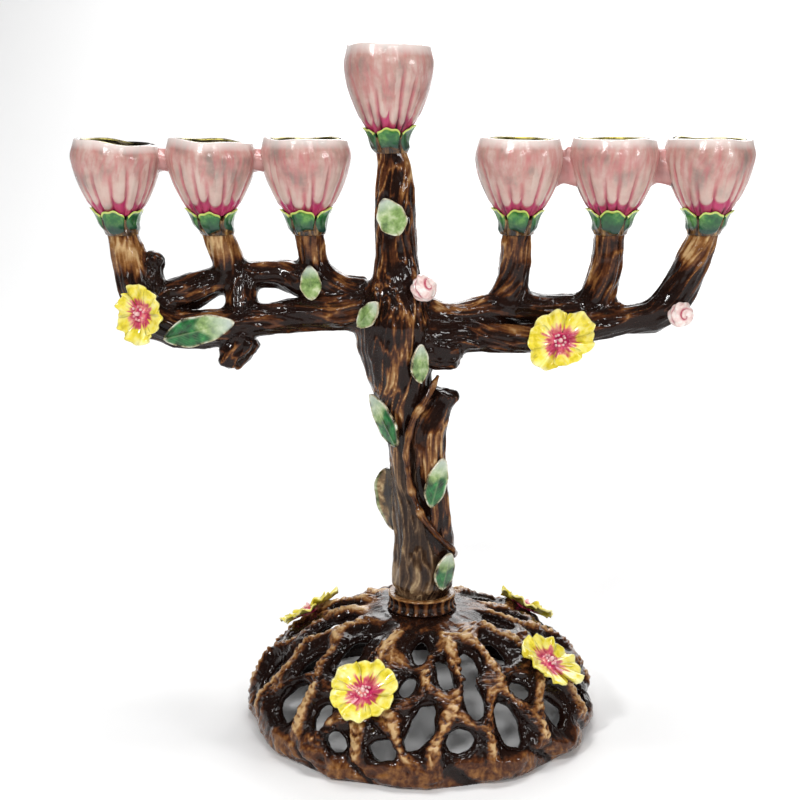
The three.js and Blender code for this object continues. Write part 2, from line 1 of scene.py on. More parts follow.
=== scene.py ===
"""Looks of the glazed tree-of-life candelabrum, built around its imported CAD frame.

Metres in Blender. The lists below are in millimetres, in the frame of the CAD, and MM converts them.
"""

import math

import bmesh
import bpy
import numpy as np
from mathutils import Euler, Matrix, Vector


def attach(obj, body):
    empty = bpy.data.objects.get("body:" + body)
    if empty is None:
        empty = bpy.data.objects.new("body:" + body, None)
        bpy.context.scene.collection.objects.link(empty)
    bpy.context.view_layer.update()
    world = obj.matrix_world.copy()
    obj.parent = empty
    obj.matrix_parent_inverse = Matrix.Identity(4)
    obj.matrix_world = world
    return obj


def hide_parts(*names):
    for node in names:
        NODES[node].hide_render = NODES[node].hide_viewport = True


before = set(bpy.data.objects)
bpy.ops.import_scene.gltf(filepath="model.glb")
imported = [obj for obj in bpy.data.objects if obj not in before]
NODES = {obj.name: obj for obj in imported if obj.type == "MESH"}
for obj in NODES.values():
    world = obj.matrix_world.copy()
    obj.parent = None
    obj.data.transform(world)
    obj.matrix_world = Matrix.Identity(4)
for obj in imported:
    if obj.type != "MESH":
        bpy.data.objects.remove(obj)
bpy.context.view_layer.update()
MM = 0.001
TURN = 2 * math.pi

# ---------------------------------------------------------------- camera, light and stage

CAMERA_AT = (-4.3, -527.2, 246.4)
CAMERA_PITCH = 13.7
LENS = 69.75
# Each lamp's place and aim in metres, its width and height, and its power in watts.
LAMPS = {
    "key": ((-0.5, -0.75, 0.75), (0, 0, 0.13), (0.13, 0.13), 4.6),
    "fill": ((0.85, -0.6, 0.4), (0, 0, 0.12), (0.14, 0.26), 2.6),
    "strip_left": ((-0.22, -0.95, 1.0), (0, 0, 0.1), (0.05, 0.36), 1.7),
    "strip_right": ((0.38, -1.0, 0.72), (0, 0, 0.1), (0.05, 0.36), 1.7),
    "top": ((0, 0.05, 1.1), (0, 0, 0.1), (0.5, 0.3), 5.4),
    "back": ((0.2, 0.9, 0.6), (0, 0.3, 0), (0.9, 0.5), 5.6),
    "front": ((0.1, -1.5, 0.75), (0, 0, 0.12), (0.14, 0.14), 2.4),
}
SKY_LIGHT = 0.08
PAPER_WHITE = 0.92
# The floor in metres: its front and flat back edges, the radius of its bend, its half width and its top.
FLOOR_FRONT, FLOOR_BACK, FLOOR_BEND, FLOOR_HALF, FLOOR_TOP = -1.6, 0.5, 0.7, 3.0, 3.0
BEND_STEPS = 12


def linked(name, data):
    o = bpy.data.objects.new(name, data)
    bpy.context.collection.objects.link(o)
    return o


def set_the_stage():
    """The camera, the lamps, and a floor that sweeps up behind the object, so that no horizon shows."""
    scene = bpy.context.scene
    cam = bpy.data.cameras.new("camera")
    cam.lens = LENS
    cam.sensor_width = 36
    cam.clip_start = 0.02
    eye = linked("camera", cam)
    eye.location = Vector(CAMERA_AT) * MM
    eye.rotation_euler = Euler((math.radians(90 - CAMERA_PITCH), 0, 0))
    scene.camera = eye
    for name, (at, aim, (width, height), power) in LAMPS.items():
        data = bpy.data.lights.new(name, "AREA")
        data.shape = "RECTANGLE"
        data.size = width
        data.size_y = height
        data.energy = power
        lamp = linked(name, data)
        lamp.location = at
        lamp.rotation_euler = (Vector(aim) - Vector(at)).to_track_quat("-Z", "Y").to_euler()
    scene.world = bpy.data.worlds.new("world")
    scene.world.use_nodes = True
    sky = scene.world.node_tree.nodes["Background"].inputs
    sky[0].default_value = (1, 1, 1, 1)
    sky[1].default_value = SKY_LIGHT
    scene.view_settings.view_transform = "Standard"

    rows = [(FLOOR_FRONT, 0), (FLOOR_BACK, 0)]
    for i in range(1, BEND_STEPS + 1):
        a = math.pi / 2 * i / BEND_STEPS
        rows.append((FLOOR_BACK + FLOOR_BEND * math.sin(a), FLOOR_BEND * (1 - math.cos(a))))
    rows.append((FLOOR_BACK + FLOOR_BEND, FLOOR_TOP))
    verts = [(x, y, z) for y, z in rows for x in (-FLOOR_HALF, FLOOR_HALF)]
    faces = [(2 * i, 2 * i + 1, 2 * i + 3, 2 * i + 2) for i in range(len(rows) - 1)]
    mesh = bpy.data.meshes.new("floor")
    mesh.from_pydata(verts, [], faces)
    mesh.shade_smooth()
    paper = bpy.data.materials.new("paper")
    paper.use_nodes = True
    shader = paper.node_tree.nodes["Principled BSDF"].inputs
    shader["Base Color"].default_value = (PAPER_WHITE, PAPER_WHITE, PAPER_WHITE, 1)
    shader["Roughness"].default_value = 0.85
    mesh.materials.append(paper)
    linked("floor", mesh)


# ---------------------------------------------------------------- noise and profiles

LATTICE = 32
GRIDS = [np.random.default_rng(40 + k).random((LATTICE,) * 3) for k in range(4)]


def noise(p, grid=0):
    """Smooth noise from 0 to 1 at points p, one feature per unit."""
    cell = np.floor(p).astype(int)
    f = p - cell
    f = f * f * (3 - 2 * f)
    g = GRIDS[grid % len(GRIDS)]
    total = 0
    for corner in range(8):
        step = np.array([(corner >> k) & 1 for k in range(3)])
        i, j, k = ((cell + step) % LATTICE).T
        total = total + g[i, j, k] * np.prod(np.where(step, f, 1 - f), axis=1)
    return total


def fractal(p, grid=0, octaves=3):
    total = sum(noise(p * 2.03**k + 7.7 * k, grid + k) / 2**k for k in range(octaves))
    return total / sum(1 / 2**k for k in range(octaves))


def spread_noise(grid, *place, octaves=1):
    """Noise at places whose three coordinates are arrays that broadcast together, in their shape."""
    place = np.broadcast_arrays(*place)
    return fractal(np.column_stack([p.ravel() for p in place]), grid, octaves).reshape(place[0].shape)


def crest(n):
    """1 on the thin lines where the noise n is in the middle of its range."""
    return 1 - np.clip(np.abs(n - 0.5) * 4, 0, 1)


def smoothstep(low, high, x):
    t = np.clip((x - low) / (high - low), 0, 1)
    return t * t * (3 - 2 * t)


def bell(x, width):
    return np.exp(-((x / width) ** 2))


def around(columns):
    """Angles once round an axis, as one row."""
    return np.linspace(0, TURN, columns, endpoint=False)[None, :]


def curve_through(points, t):
    """Values of a smooth curve through [value, place] pairs at the places t."""
    values, places = np.array(points, dtype=float).T
    slopes = np.gradient(values, places)
    i = np.clip(np.searchsorted(places, t, side="right") - 1, 0, len(places) - 2)
    h = places[i + 1] - places[i]
    x = (t - places[i]) / h
    from_left = (1 + 2 * x) * (1 - x) ** 2 * values[i] + x * (1 - x) ** 2 * h * slopes[i]
    return from_left + x**2 * (3 - 2 * x) * values[i + 1] + x**2 * (x - 1) * h * slopes[i + 1]


# ---------------------------------------------------------------- meshes


def read_mesh(mesh):
    """Points in millimetres, edges and quads of a mesh that is all quads."""
    co = np.empty(len(mesh.vertices) * 3)
    mesh.vertices.foreach_get("co", co)
    edges = np.empty(len(mesh.edges) * 2, dtype=np.int32)
    mesh.edges.foreach_get("vertices", edges)
    corners = np.empty(len(mesh.loops), dtype=np.int32)
    mesh.loops.foreach_get("vertex_index", corners)
    assert len(corners) == 4 * len(mesh.polygons)
    return co.reshape(-1, 3) / MM, edges.reshape(-1, 2), corners.reshape(-1, 4)


def averager(n, edges):
    """A function that gives each point the mean of its neighbours' values."""
    a, b = edges.T
    degree = np.maximum(np.bincount(a, minlength=n) + np.bincount(b, minlength=n), 1)

    def average(values):
        sums = [np.bincount(a, v[b], n) + np.bincount(b, v[a], n) for v in values.T]
        return np.column_stack(sums) / degree[:, None]

    return average


def relax(co, edges, rounds):
    """Taubin smoothing, which rounds off facets and creases and keeps the girth."""
    average = averager(len(co), edges)
    for _ in range(rounds):
        co = co + 0.6 * (average(co) - co)
        co = co - 0.62 * (average(co) - co)
    return co


def normals_of(co, quads):
    p = co[quads]
    n = np.cross(p[:, 2] - p[:, 0], p[:, 3] - p[:, 1])
    out = np.zeros_like(co)
    for k in range(4):
        for axis in range(3):
            out[:, axis] += np.bincount(quads[:, k], n[:, axis], len(co))
    return out / np.maximum(np.linalg.norm(out, axis=1, keepdims=True), 1e-12)


def fill_corners(co, edges, quads, rounds):
    """Rounds out the inner corners between limbs, and leaves what bulges out as it is."""
    average = averager(len(co), edges)
    for k in range(rounds):
        if k % 8 == 0:
            normal = normals_of(co, quads)
        step = average(co) - co
        along = (step * normal).sum(1, keepdims=True)
        co = co + 0.6 * (step - np.minimum(along, 0) * normal)
    return co


def welded(mesh):
    """A CAD node's mesh with its split corners joined again."""
    bm = bmesh.new()
    bm.from_mesh(mesh)
    bmesh.ops.remove_doubles(bm, verts=bm.verts, dist=1e-6)
    copy = bpy.data.meshes.new("welded")
    bm.to_mesh(copy)
    bm.free()
    return copy


def remeshed(names, swell, voxel):
    """One mesh around CAD nodes that are swollen until they meet, in even quads."""
    verts, faces = [], []
    for name in names:
        mesh = welded(NODES[name].data)
        start = len(verts)
        verts += [v.co + v.normal * swell * MM for v in mesh.vertices]
        faces += [[start + i for i in p.vertices] for p in mesh.polygons]
    mesh = bpy.data.meshes.new("blank")
    mesh.from_pydata(verts, [], faces)
    blank = linked("blank", mesh)
    modifier = blank.modifiers.new("remesh", "REMESH")
    modifier.mode = "VOXEL"
    modifier.voxel_size = voxel * MM
    modifier.adaptivity = 0
    graph = bpy.context.evaluated_depsgraph_get()
    result = bpy.data.meshes.new_from_object(blank.evaluated_get(graph))
    bpy.data.objects.remove(blank)
    return read_mesh(result)


def ring_faces(rows, columns, closed_rows=False):
    """Quads between rows of points that each go once round an axis."""
    i, k = np.meshgrid(np.arange(rows if closed_rows else rows - 1), np.arange(columns), indexing="ij")
    up, right = (i + 1) % rows, (k + 1) % columns
    quads = np.stack([i * columns + k, i * columns + right, up * columns + right, up * columns + k], axis=-1)
    return quads.reshape(-1, 4).tolist()


def capped_faces(rows, columns):
    """Ring quads, with both ends closed onto the two points that come after the rings."""
    n = rows * columns
    faces = ring_faces(rows, columns)
    for k in range(columns):
        after = (k + 1) % columns
        faces += [(n, after, k), (n + 1, n - columns + k, n - columns + after)]
    return faces


def rings(r, z, centre=(0, 0, 0)):
    """Points in rows round an upright axis, from radii and heights that broadcast together."""
    r, z = np.broadcast_arrays(r, z)
    angle = around(r.shape[1])
    return np.stack([r * np.sin(angle), -r * np.cos(angle), z], axis=-1).reshape(-1, 3) + centre


def plate(top, thick):
    """Points and faces of a closed plate under a grid of points (rows, columns, 3) that faces +Z."""
    rows, columns = top.shape[:2]
    n = rows * columns
    index = np.arange(n).reshape(rows, columns)
    quads = np.stack([index[:-1, :-1], index[:-1, 1:], index[1:, 1:], index[1:, :-1]], axis=-1).reshape(-1, 4)
    edge = [*index[0], *index[1:, -1], *index[-1, -2::-1], *index[-2:0:-1, 0]]
    faces = quads.tolist() + (quads[:, ::-1] + n).tolist()
    faces += [(q, p, p + n, q + n) for p, q in zip(edge, edge[1:] + edge[:1])]
    return np.vstack([top.reshape(-1, 3), top.reshape(-1, 3) - (0, 0, thick)]), faces


def joined(parts):
    """One mesh out of (points, faces, values) parts, where each value is an array or one number."""
    faces, start = [], 0
    for co, part_faces, _ in parts:
        faces += [[start + i for i in face] for face in part_faces]
        start += len(co)
    values = {}
    for key in parts[0][2]:
        values[key] = np.concatenate([np.broadcast_to(part[key], len(co)) for co, _, part in parts])
    return np.vstack([co for co, _, _ in parts]), faces, values


def facing(at, azimuth=0, pitch=0, spin=0, **_):
    """From a piece's own frame, facing +Z with its tip to +Y, to its place on the object."""
    turn = Matrix.Rotation(math.radians(azimuth), 4, "Z") @ Matrix.Rotation(math.radians(90 - pitch), 4, "X")
    return np.array(Matrix.Translation(at) @ turn @ Matrix.Rotation(math.radians(spin), 4, "Z"))


def placed(co, matrix):
    return co @ matrix[:3, :3].T + matrix[:3, 3]


def add_piece(name, node, slot_name, co, faces, values, smooth=True):
    """A piece from points in millimetres, with its per-point values as attributes, in place of a CAD node."""
    mesh = bpy.data.meshes.new(name)
    mesh.from_pydata((np.asarray(co) * MM).tolist(), [], [tuple(int(i) for i in f) for f in faces])
    mesh.validate()
    if smooth:
        mesh.shade_smooth()
    for key, data in values.items():
        data = np.asarray(data, dtype=np.float32)
        if data.ndim == 2:
            mesh.attributes.new(key, "FLOAT_VECTOR", "POINT").data.foreach_set("vector", data.ravel())
        else:
            mesh.attributes.new(key, "FLOAT", "POINT").data.foreach_set("value", data)
    mesh.materials.append(MATERIALS[slot_name])
    o = linked(name, mesh)
    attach(o, "root")
    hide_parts(node)


def add_round_solid(name, node, slot_name, r, z, values, centre):
    """A piece from rings of radius r and height z, each (rows, columns), capped at both ends."""
    co = np.vstack([rings(r, z), (0, 0, z[0].mean()), (0, 0, z[-1].mean())]) + centre
    data = {key: np.append(v.ravel(), [v[0].mean(), v[-1].mean()]) for key, v in values.items()}
    add_piece(name, node, slot_name, co, capped_faces(*r.shape), data)


# ---------------------------------------------------------------- the wood's centrelines

# (x, y, z, radius) from root to tip, as in the CAD. A key with a slash is a branch of the limb before it.
LIMBS = {
    "trunk": [
        (3.6, 0, 41, 9.5), (3.9, 0, 50, 10.6), (3.9, 0, 58, 10.6), (3, 0, 67, 9.3), (1.6, 0, 78, 8.4),
        (0.8, 0, 90, 8), (0.2, 0, 101, 8.4), (-1.4, 0, 112, 9.2), (-3.2, 0, 122, 10.2),
        (-4.8, 0, 130, 11.2), (-6.2, 0, 138, 12.8), (-6.6, 0, 146, 13.2), (-5.8, 0, 154, 11.6),
        (-5.5, 0, 161, 8.6), (-5.5, 0, 169, 6.8), (-6, 0, 181, 6.7), (-5.8, 0, 192, 6.3),
        (-6.7, 0, 201.6, 5), (-8, 0, 207.6, 5), (-8, 0, 210.3, 5),
    ],
    "side_stem": [
        (10.5, -2.5, 59, 3.6), (9.6, -4.6, 67, 4.8), (8.4, -5.6, 78, 5), (7.2, -6, 89, 5.2),
        (6.4, -6, 100, 5.3), (6.8, -5.8, 110, 5.2), (9, -5.4, 117, 4.8), (11.6, -5.2, 122, 4.2),
    ],
    "burr_knot": [(5, -3.4, 137.4, 6.6), (10.6, -4.2, 136.2, 6), (15.8, -4.8, 135.2, 4.6)],
    "left_bough": [
        (-10, 0, 151, 7.4), (-22, -0.6, 149.4, 6.3), (-32, -1.6, 148.8, 5.8), (-42, -2.6, 148.4, 5.5),
        (-52, -3.2, 147.2, 5.3), (-62, -3.4, 145.2, 5.9), (-72, -3.6, 143.8, 6.4), (-81, -3.2, 143.6, 6.2),
        (-88, -2.6, 146.4, 6.2), (-92.4, -1.8, 152, 6.6), (-94.6, -1.2, 159, 6.8), (-96.4, -0.6, 166.5, 6.2),
        (-98.3, 0, 174, 5), (-100, 0, 180, 5), (-100, 0, 182.7, 5),
    ],
    "left_upper_limb": [
        (-17, 2.8, 155.2, 5.6), (-23.5, 3, 156, 5.2), (-32, 3.2, 159.8, 6.2), (-38.5, 3.4, 160, 6.2),
        (-46, 3.6, 161.9, 4.7), (-58, 3.8, 161.4, 4.8), (-68, 3.4, 159.4, 4.9), (-76, 2.2, 156.2, 6.2),
        (-83, 0.6, 155, 5.6), (-88, -1.2, 151.4, 4.8),
    ],
    "left_upper_limb/web": [(-58.4, -2.6, 147, 5.6), (-58.8, 0, 153, 5.2), (-59.4, 3.4, 160, 5.6)],
    "left_upper_limb/middle": [
        (-62.4, 3.6, 161, 5.4), (-63.6, 2.8, 167.5, 5.2), (-65.8, 1.2, 174, 5), (-68, 0, 180, 5),
        (-68, 0, 182.7, 5),
    ],
    "left_upper_limb/inner": [
        (-32.6, 3.2, 160.5, 5.6), (-34.2, 2.4, 167, 4.7), (-35, 1, 174, 5), (-36, 0, 180, 5),
        (-36, 0, 182.7, 5),
    ],
    "left_stub": [(-57.8, -3.6, 141, 6), (-60.6, -4.2, 136.4, 5.2), (-63.8, -4.8, 131.6, 3.8)],
    "left_spur": [(-91.6, -1.6, 155, 5), (-89.4, -1.8, 162, 4), (-87.6, -1.8, 168.6, 2.6)],
    "right_bough": [
        (0, -1.6, 141, 6.6), (13, -2.8, 141, 5.6), (23, -3.4, 140.8, 4.9), (32, -3.8, 140.6, 4.7),
        (41, -3.8, 140.8, 4.7), (51, -3.4, 142, 5), (62, -2.4, 145, 5), (74, -1.2, 147, 4.8),
        (82, -0.6, 147.8, 5.8), (88, 0, 151.6, 6.2), (92.4, 0, 158, 6), (95.6, 0, 165.2, 5.6),
        (98.6, 0, 174, 5), (100, 0, 180, 5), (100, 0, 182.7, 5),
    ],
    "right_upper_limb": [
        (0, 1, 149, 7.2), (12, 1.6, 146.4, 4.9), (22, 2.2, 148.4, 5.2), (32, 2.8, 150.4, 5.8),
        (44, 2.8, 149.8, 5.2), (54, 2.6, 149.8, 5), (63, 2.2, 150.4, 5), (71, 1, 148.6, 4),
    ],
    "right_upper_limb/inner": [
        (33, 2.8, 152, 6.6), (34.6, 2.2, 160, 5.3), (35.4, 1.4, 167, 5.2), (35.3, 0.8, 174, 5),
        (36, 0, 180, 5), (36, 0, 182.7, 5),
    ],
    "right_upper_limb/middle": [
        (63.4, 2.4, 151.4, 6.4), (65, 2, 158.6, 5.6), (66.6, 1.4, 165, 5.2), (67, 0.8, 174, 5),
        (68, 0, 180, 5), (68, 0, 182.7, 5),
    ],
}
VINE = [
    (13.8, 5, 58, 1.2), (15, 0.5, 61, 1.5), (14, -6, 65, 1.7), (10, -10, 70, 1.8), (4.5, -11.2, 77, 1.8),
    (0.4, -9.8, 86, 1.7), (-1.6, -9.6, 96, 1.7), (-1.6, -10.4, 106, 1.7), (1, -11.2, 115, 1.7),
    (5.4, -9.6, 122, 1.6), (8.8, -6, 128, 1.4),
]
STEP = 0.9  # spacing of the points that a centreline is sampled at
BATCH = 20000  # how many points are measured against a centreline at a time
BLEND = 1.1  # how far the streaks of one limb run into the next


def centreline(points):
    """A limb's samples: centre, radius, way along it and direction."""
    p = np.array(points, dtype=float)
    ends = np.vstack([2 * p[0] - p[1], p, 2 * p[-1] - p[-2]])
    samples = []
    for i in range(1, len(ends) - 2):
        a, b, c, d = ends[i - 1 : i + 3]
        count = max(2, int(np.linalg.norm(c[:3] - b[:3]) / STEP))
        t = np.arange(count)[:, None] / count
        bend = (2 * a - 5 * b + 4 * c - d) * t**2 + (3 * b - a - 3 * c + d) * t**3
        samples.append(0.5 * (2 * b + (c - a) * t + bend))
    samples = np.vstack(samples + [p[-1:]])
    centre, radius = samples[:, :3], samples[:, 3]
    steps = np.linalg.norm(np.diff(centre, axis=0), axis=1)
    along = np.concatenate([[0], np.cumsum(steps)])
    direction = np.gradient(centre, axis=0)
    direction /= np.linalg.norm(direction, axis=1, keepdims=True)
    return centre, radius, along, direction


def frame_across(direction):
    """Two unit vectors that lie across each direction and across each other."""
    across = np.cross(direction, (0, 1, 0))
    across /= np.linalg.norm(across, axis=1, keepdims=True)
    return across, np.cross(across, direction)


def on_limb(co, limb):
    """Each point's distance outside the limb, its way along it, and its two offsets across it."""
    centre, radius, along, direction = centreline(limb)
    nearest = np.empty(len(co), dtype=int)
    for start in range(0, len(co), BATCH):
        part = co[start : start + BATCH]
        nearest[start : start + BATCH] = ((part[:, None] - centre[None]) ** 2).sum(2).argmin(1)
    d = direction[nearest]
    offset = co - centre[nearest]
    s = (offset * d).sum(1)
    ends = (nearest == 0) & (s < 0) | (nearest == len(centre) - 1) & (s > 0)
    side = offset - s[:, None] * d
    across, out = frame_across(d)
    depth = np.linalg.norm(side, axis=1) - radius[nearest]
    depth = np.where(ends, np.maximum(depth, 0) + np.abs(s), depth)
    return depth, along[nearest] + s, (side * across).sum(1), (side * out).sum(1)


def bark_fields(co):
    """Which limb each point is on, the streaks that run along the limbs, blended where they join, and a
    painted shade where two limbs meet.
    """
    rows = [on_limb(co, limb) for limb in LIMBS.values()]
    depth = np.array([r[0] for r in rows])
    nearest = depth.argmin(0)
    weight = np.exp(-(depth - depth.min(0)) / BLEND)
    weight /= weight.sum(0)
    broad, fine = np.zeros((2, len(co)))
    grain = np.zeros((len(co), 3))
    wander = 2.2 * (noise(co / 9, 1) - 0.5)
    for k, (_, s, a, b) in enumerate(rows):
        use = weight[k] > 0.02
        if not use.any():
            continue
        turn = s[use] * (0.012 if k == 0 else 0.02) + 0.35 * np.sin(s[use] / 13 + k)
        x = a[use] * np.cos(turn) - b[use] * np.sin(turn) + wander[use]
        y = a[use] * np.sin(turn) + b[use] * np.cos(turn) + wander[use]
        at = np.column_stack([x, y, s[use]]) + 31.0 * k
        grain[use] = np.where((nearest[use] == k)[:, None], at / (1, 1, 11), grain[use])
        broad[use] += weight[k][use] * noise(at / (4.4, 4.4, 30), k)
        fine[use] += weight[k][use] * fractal(at / (1.9, 1.9, 13), k + 1, 2)
    depth.sort(axis=0)
    # Painted shade in the crook where two limbs meet.
    joint_shade = smoothstep(3.2, -0.4, depth[1])
    return nearest, broad, fine, joint_shade, grain


# ---------------------------------------------------------------- materials

BLACK, WHITE = (0, 0, 0), (1, 1, 1)


def put(tree, socket, value):
    """Gives a socket a number, a colour or another node's output."""
    if isinstance(value, (int, float)):
        socket.default_value = value
    elif isinstance(value, tuple):
        socket.default_value = (*value, 1)
    else:
        tree.links.new(value, socket)


def ramp(tree, source, *stops):
    """A colour ramp with its (place, colour) stops."""
    node = tree.nodes.new("ShaderNodeValToRGB")
    elements = node.color_ramp.elements
    while len(elements) < len(stops):
        elements.new(0.5)
    for element, (at, colour) in zip(elements, stops):
        element.position = at
        element.color = (*colour, 1)
    tree.links.new(source, node.inputs[0])
    return node.outputs[0]


def fade(tree, source, low, high):
    return ramp(tree, source, (low, BLACK), (high, WHITE))


def attribute(tree, name, output="Fac"):
    node = tree.nodes.new("ShaderNodeAttribute")
    node.attribute_name = name
    return node.outputs[output]


def noise_node(tree, place, scale, detail, roughness=0.5):
    node = tree.nodes.new("ShaderNodeTexNoise")
    node.inputs["Scale"].default_value = scale
    node.inputs["Detail"].default_value = detail
    node.inputs["Roughness"].default_value = roughness
    tree.links.new(place, node.inputs["Vector"])
    return node.outputs[0]


def texture(tree, scale, detail=4, stretch=(1, 1, 1)):
    place = tree.nodes.new("ShaderNodeTexCoord")
    mapping = tree.nodes.new("ShaderNodeMapping")
    mapping.inputs["Scale"].default_value = stretch
    tree.links.new(place.outputs["Object"], mapping.inputs[0])
    return noise_node(tree, mapping.outputs[0], scale, detail, 0.55)


def math_node(tree, operation, *values):
    node = tree.nodes.new("ShaderNodeMath")
    node.operation = operation
    for socket, value in zip(node.inputs, values):
        put(tree, socket, value)
    return node.outputs[0]


def share(tree, source, part, plus=0):
    """A part of a value, with a constant added."""
    if plus:
        return math_node(tree, "MULTIPLY_ADD", source, part, plus)
    return math_node(tree, "MULTIPLY", source, part)


def mix(tree, factor, a, b):
    node = tree.nodes.new("ShaderNodeMix")
    node.data_type = "RGBA"
    for socket, value in zip((node.inputs[0], node.inputs[6], node.inputs[7]), (factor, a, b)):
        put(tree, socket, value)
    return node.outputs[2]


def bump(tree, height, strength, distance):
    node = tree.nodes.new("ShaderNodeBump")
    node.inputs["Strength"].default_value = strength
    node.inputs["Distance"].default_value = distance
    tree.links.new(height, node.inputs["Height"])
    return node.outputs[0]


def bark_glaze(tree):
    speckle = texture(tree, 900, 5)
    streak = noise_node(tree, attribute(tree, "grain", "Vector"), 0.8, 3)
    level = math_node(tree, "ADD", attribute(tree, "ridge"), share(tree, speckle, 0.3, -0.15))
    level = math_node(tree, "ADD", level, share(tree, streak, 0.8, -0.4))
    dark = ramp(
        tree,
        level,
        (0.0, (0.003, 0.002, 0.002)),
        (0.3, (0.009, 0.005, 0.004)),
        (0.5, (0.085, 0.027, 0.01)),
        (0.72, (0.27, 0.115, 0.034)),
        (1.0, (0.64, 0.42, 0.2)),
    )
    light = ramp(
        tree,
        level,
        (0.0, (0.02, 0.012, 0.008)),
        (0.22, (0.07, 0.04, 0.022)),
        (0.5, (0.21, 0.13, 0.07)),
        (1.0, (0.55, 0.4, 0.22)),
    )
    colour = mix(tree, attribute(tree, "pale"), dark, light)
    colour = mix(tree, share(tree, texture(tree, 120, 3), 0.25), colour, (0.06, 0.016, 0.006))
    relief = math_node(tree, "ADD", share(tree, streak, 0.8), texture(tree, 320, 1))
    pooled = bump(tree, texture(tree, 190, 1), 0.5, 0.001)
    glaze = dict(coat=(0.75, 0.035), coat_ior=1.34, specular=0.04, coat_normal=pooled)
    return dict(colour=colour, rough=(speckle, 0.25, 0.14), relief=(relief, 0.5, 0.0008), **glaze)


def petal_glaze(tree):
    mottle = texture(tree, 130, 4)
    wash = texture(tree, 420, 3, (1, 1, 0.12))
    base = ramp(
        tree, mottle, (0.34, (0.29, 0.22, 0.19)), (0.5, (0.5, 0.31, 0.265)), (0.66, (0.62, 0.44, 0.39))
    )
    colour = mix(tree, share(tree, fade(tree, wash, 0.44, 0.66), 0.6), base, (0.52, 0.2, 0.18))
    rose = math_node(tree, "MULTIPLY", attribute(tree, "rose"), share(tree, wash, 0.8, 0.35))
    colour = mix(tree, rose, colour, (0.52, 0.08, 0.12))
    cream = math_node(tree, "MULTIPLY", attribute(tree, "pale"), share(tree, mottle, 0.9, 0.15))
    colour = mix(tree, cream, colour, (0.66, 0.52, 0.45))
    # Painted highlight: the cup turns near white towards its lip.
    top = fade(tree, attribute(tree, "height"), 0.88, 0.98)
    colour = mix(tree, share(tree, top, 0.6), colour, (0.9, 0.84, 0.8))
    crimson = mix(tree, mottle, (0.26, 0.006, 0.045), (0.62, 0.06, 0.19))
    colour = mix(tree, attribute(tree, "crimson"), colour, crimson)
    # Painted shade: near black wherever the 'dark' value is set.
    colour = mix(tree, attribute(tree, "dark"), colour, (0.012, 0.008, 0.006))
    relief = math_node(tree, "ADD", wash, texture(tree, 1300, 2))
    return dict(colour=colour, rough=(mottle, 0.2, 0.12), relief=(relief, 0.25, 0.00015), coat=(0.55, 0.16))


def calyx_glaze(tree):
    mottle = texture(tree, 260, 4)
    streak = texture(tree, 700, 3, (1, 1, 0.2))
    green = ramp(
        tree, mottle, (0.32, (0.012, 0.07, 0.025)), (0.5, (0.03, 0.17, 0.035)), (0.66, (0.14, 0.36, 0.06))
    )
    wood = ramp(
        tree, streak, (0.38, (0.01, 0.006, 0.004)), (0.55, (0.11, 0.05, 0.015)), (0.7, (0.36, 0.2, 0.06))
    )
    teal = mix(tree, mottle, (0.004, 0.02, 0.016), (0.02, 0.075, 0.05))
    leaf = mix(tree, fade(tree, attribute(tree, "high"), 0.35, 0.75), teal, green)
    colour = mix(tree, fade(tree, attribute(tree, "sepal"), 0.3, 0.6), wood, leaf)
    colour = mix(tree, fade(tree, attribute(tree, "lip"), 0.25, 0.6), colour, (0.6, 0.7, 0.16))
    relief = math_node(tree, "ADD", streak, mottle)
    return dict(colour=colour, rough=(mottle, 0.25, 0.12), relief=(relief, 0.35, 0.0002), coat=(0.8, 0.05))


def leaf_glaze(tree):
    mottle = texture(tree, 330, 4)
    pale = ramp(
        tree, mottle, (0.32, (0.1, 0.18, 0.05)), (0.5, (0.27, 0.4, 0.13)), (0.66, (0.55, 0.63, 0.36))
    )
    deep = ramp(
        tree, mottle, (0.35, (0.002, 0.03, 0.008)), (0.6, (0.01, 0.16, 0.035)), (0.7, (0.04, 0.3, 0.06))
    )
    bark = ramp(
        tree, mottle, (0.35, (0.03, 0.013, 0.007)), (0.5, (0.2, 0.085, 0.028)), (0.65, (0.55, 0.36, 0.17))
    )
    # The rim runs from dark through the gilt edge up to near white; the near white is a painted highlight.
    edge = ramp(
        tree, mottle, (0.38, (0.05, 0.03, 0.012)), (0.48, (0.5, 0.42, 0.25)), (0.6, (0.85, 0.82, 0.7))
    )
    tip = fade(tree, attribute(tree, "along"), 0.6, 0.95)
    colour = mix(tree, attribute(tree, "green"), pale, deep)
    colour = mix(tree, share(tree, tip, 0.75), colour, (0.62, 0.68, 0.66))
    colour = mix(tree, share(tree, attribute(tree, "rib"), 0.2), colour, (0.5, 0.58, 0.3))
    colour = mix(tree, attribute(tree, "brown"), colour, bark)
    colour = mix(tree, share(tree, attribute(tree, "rim"), 0.9), colour, edge)
    # Painted shade: the inner half of the curled bract goes near black.
    colour = mix(tree, attribute(tree, "inner"), colour, (0.008, 0.005, 0.004))
    return dict(colour=colour, rough=(mottle, 0.25, 0.1), relief=(mottle, 0.3, 0.0002), coat=(0.8, 0.04))


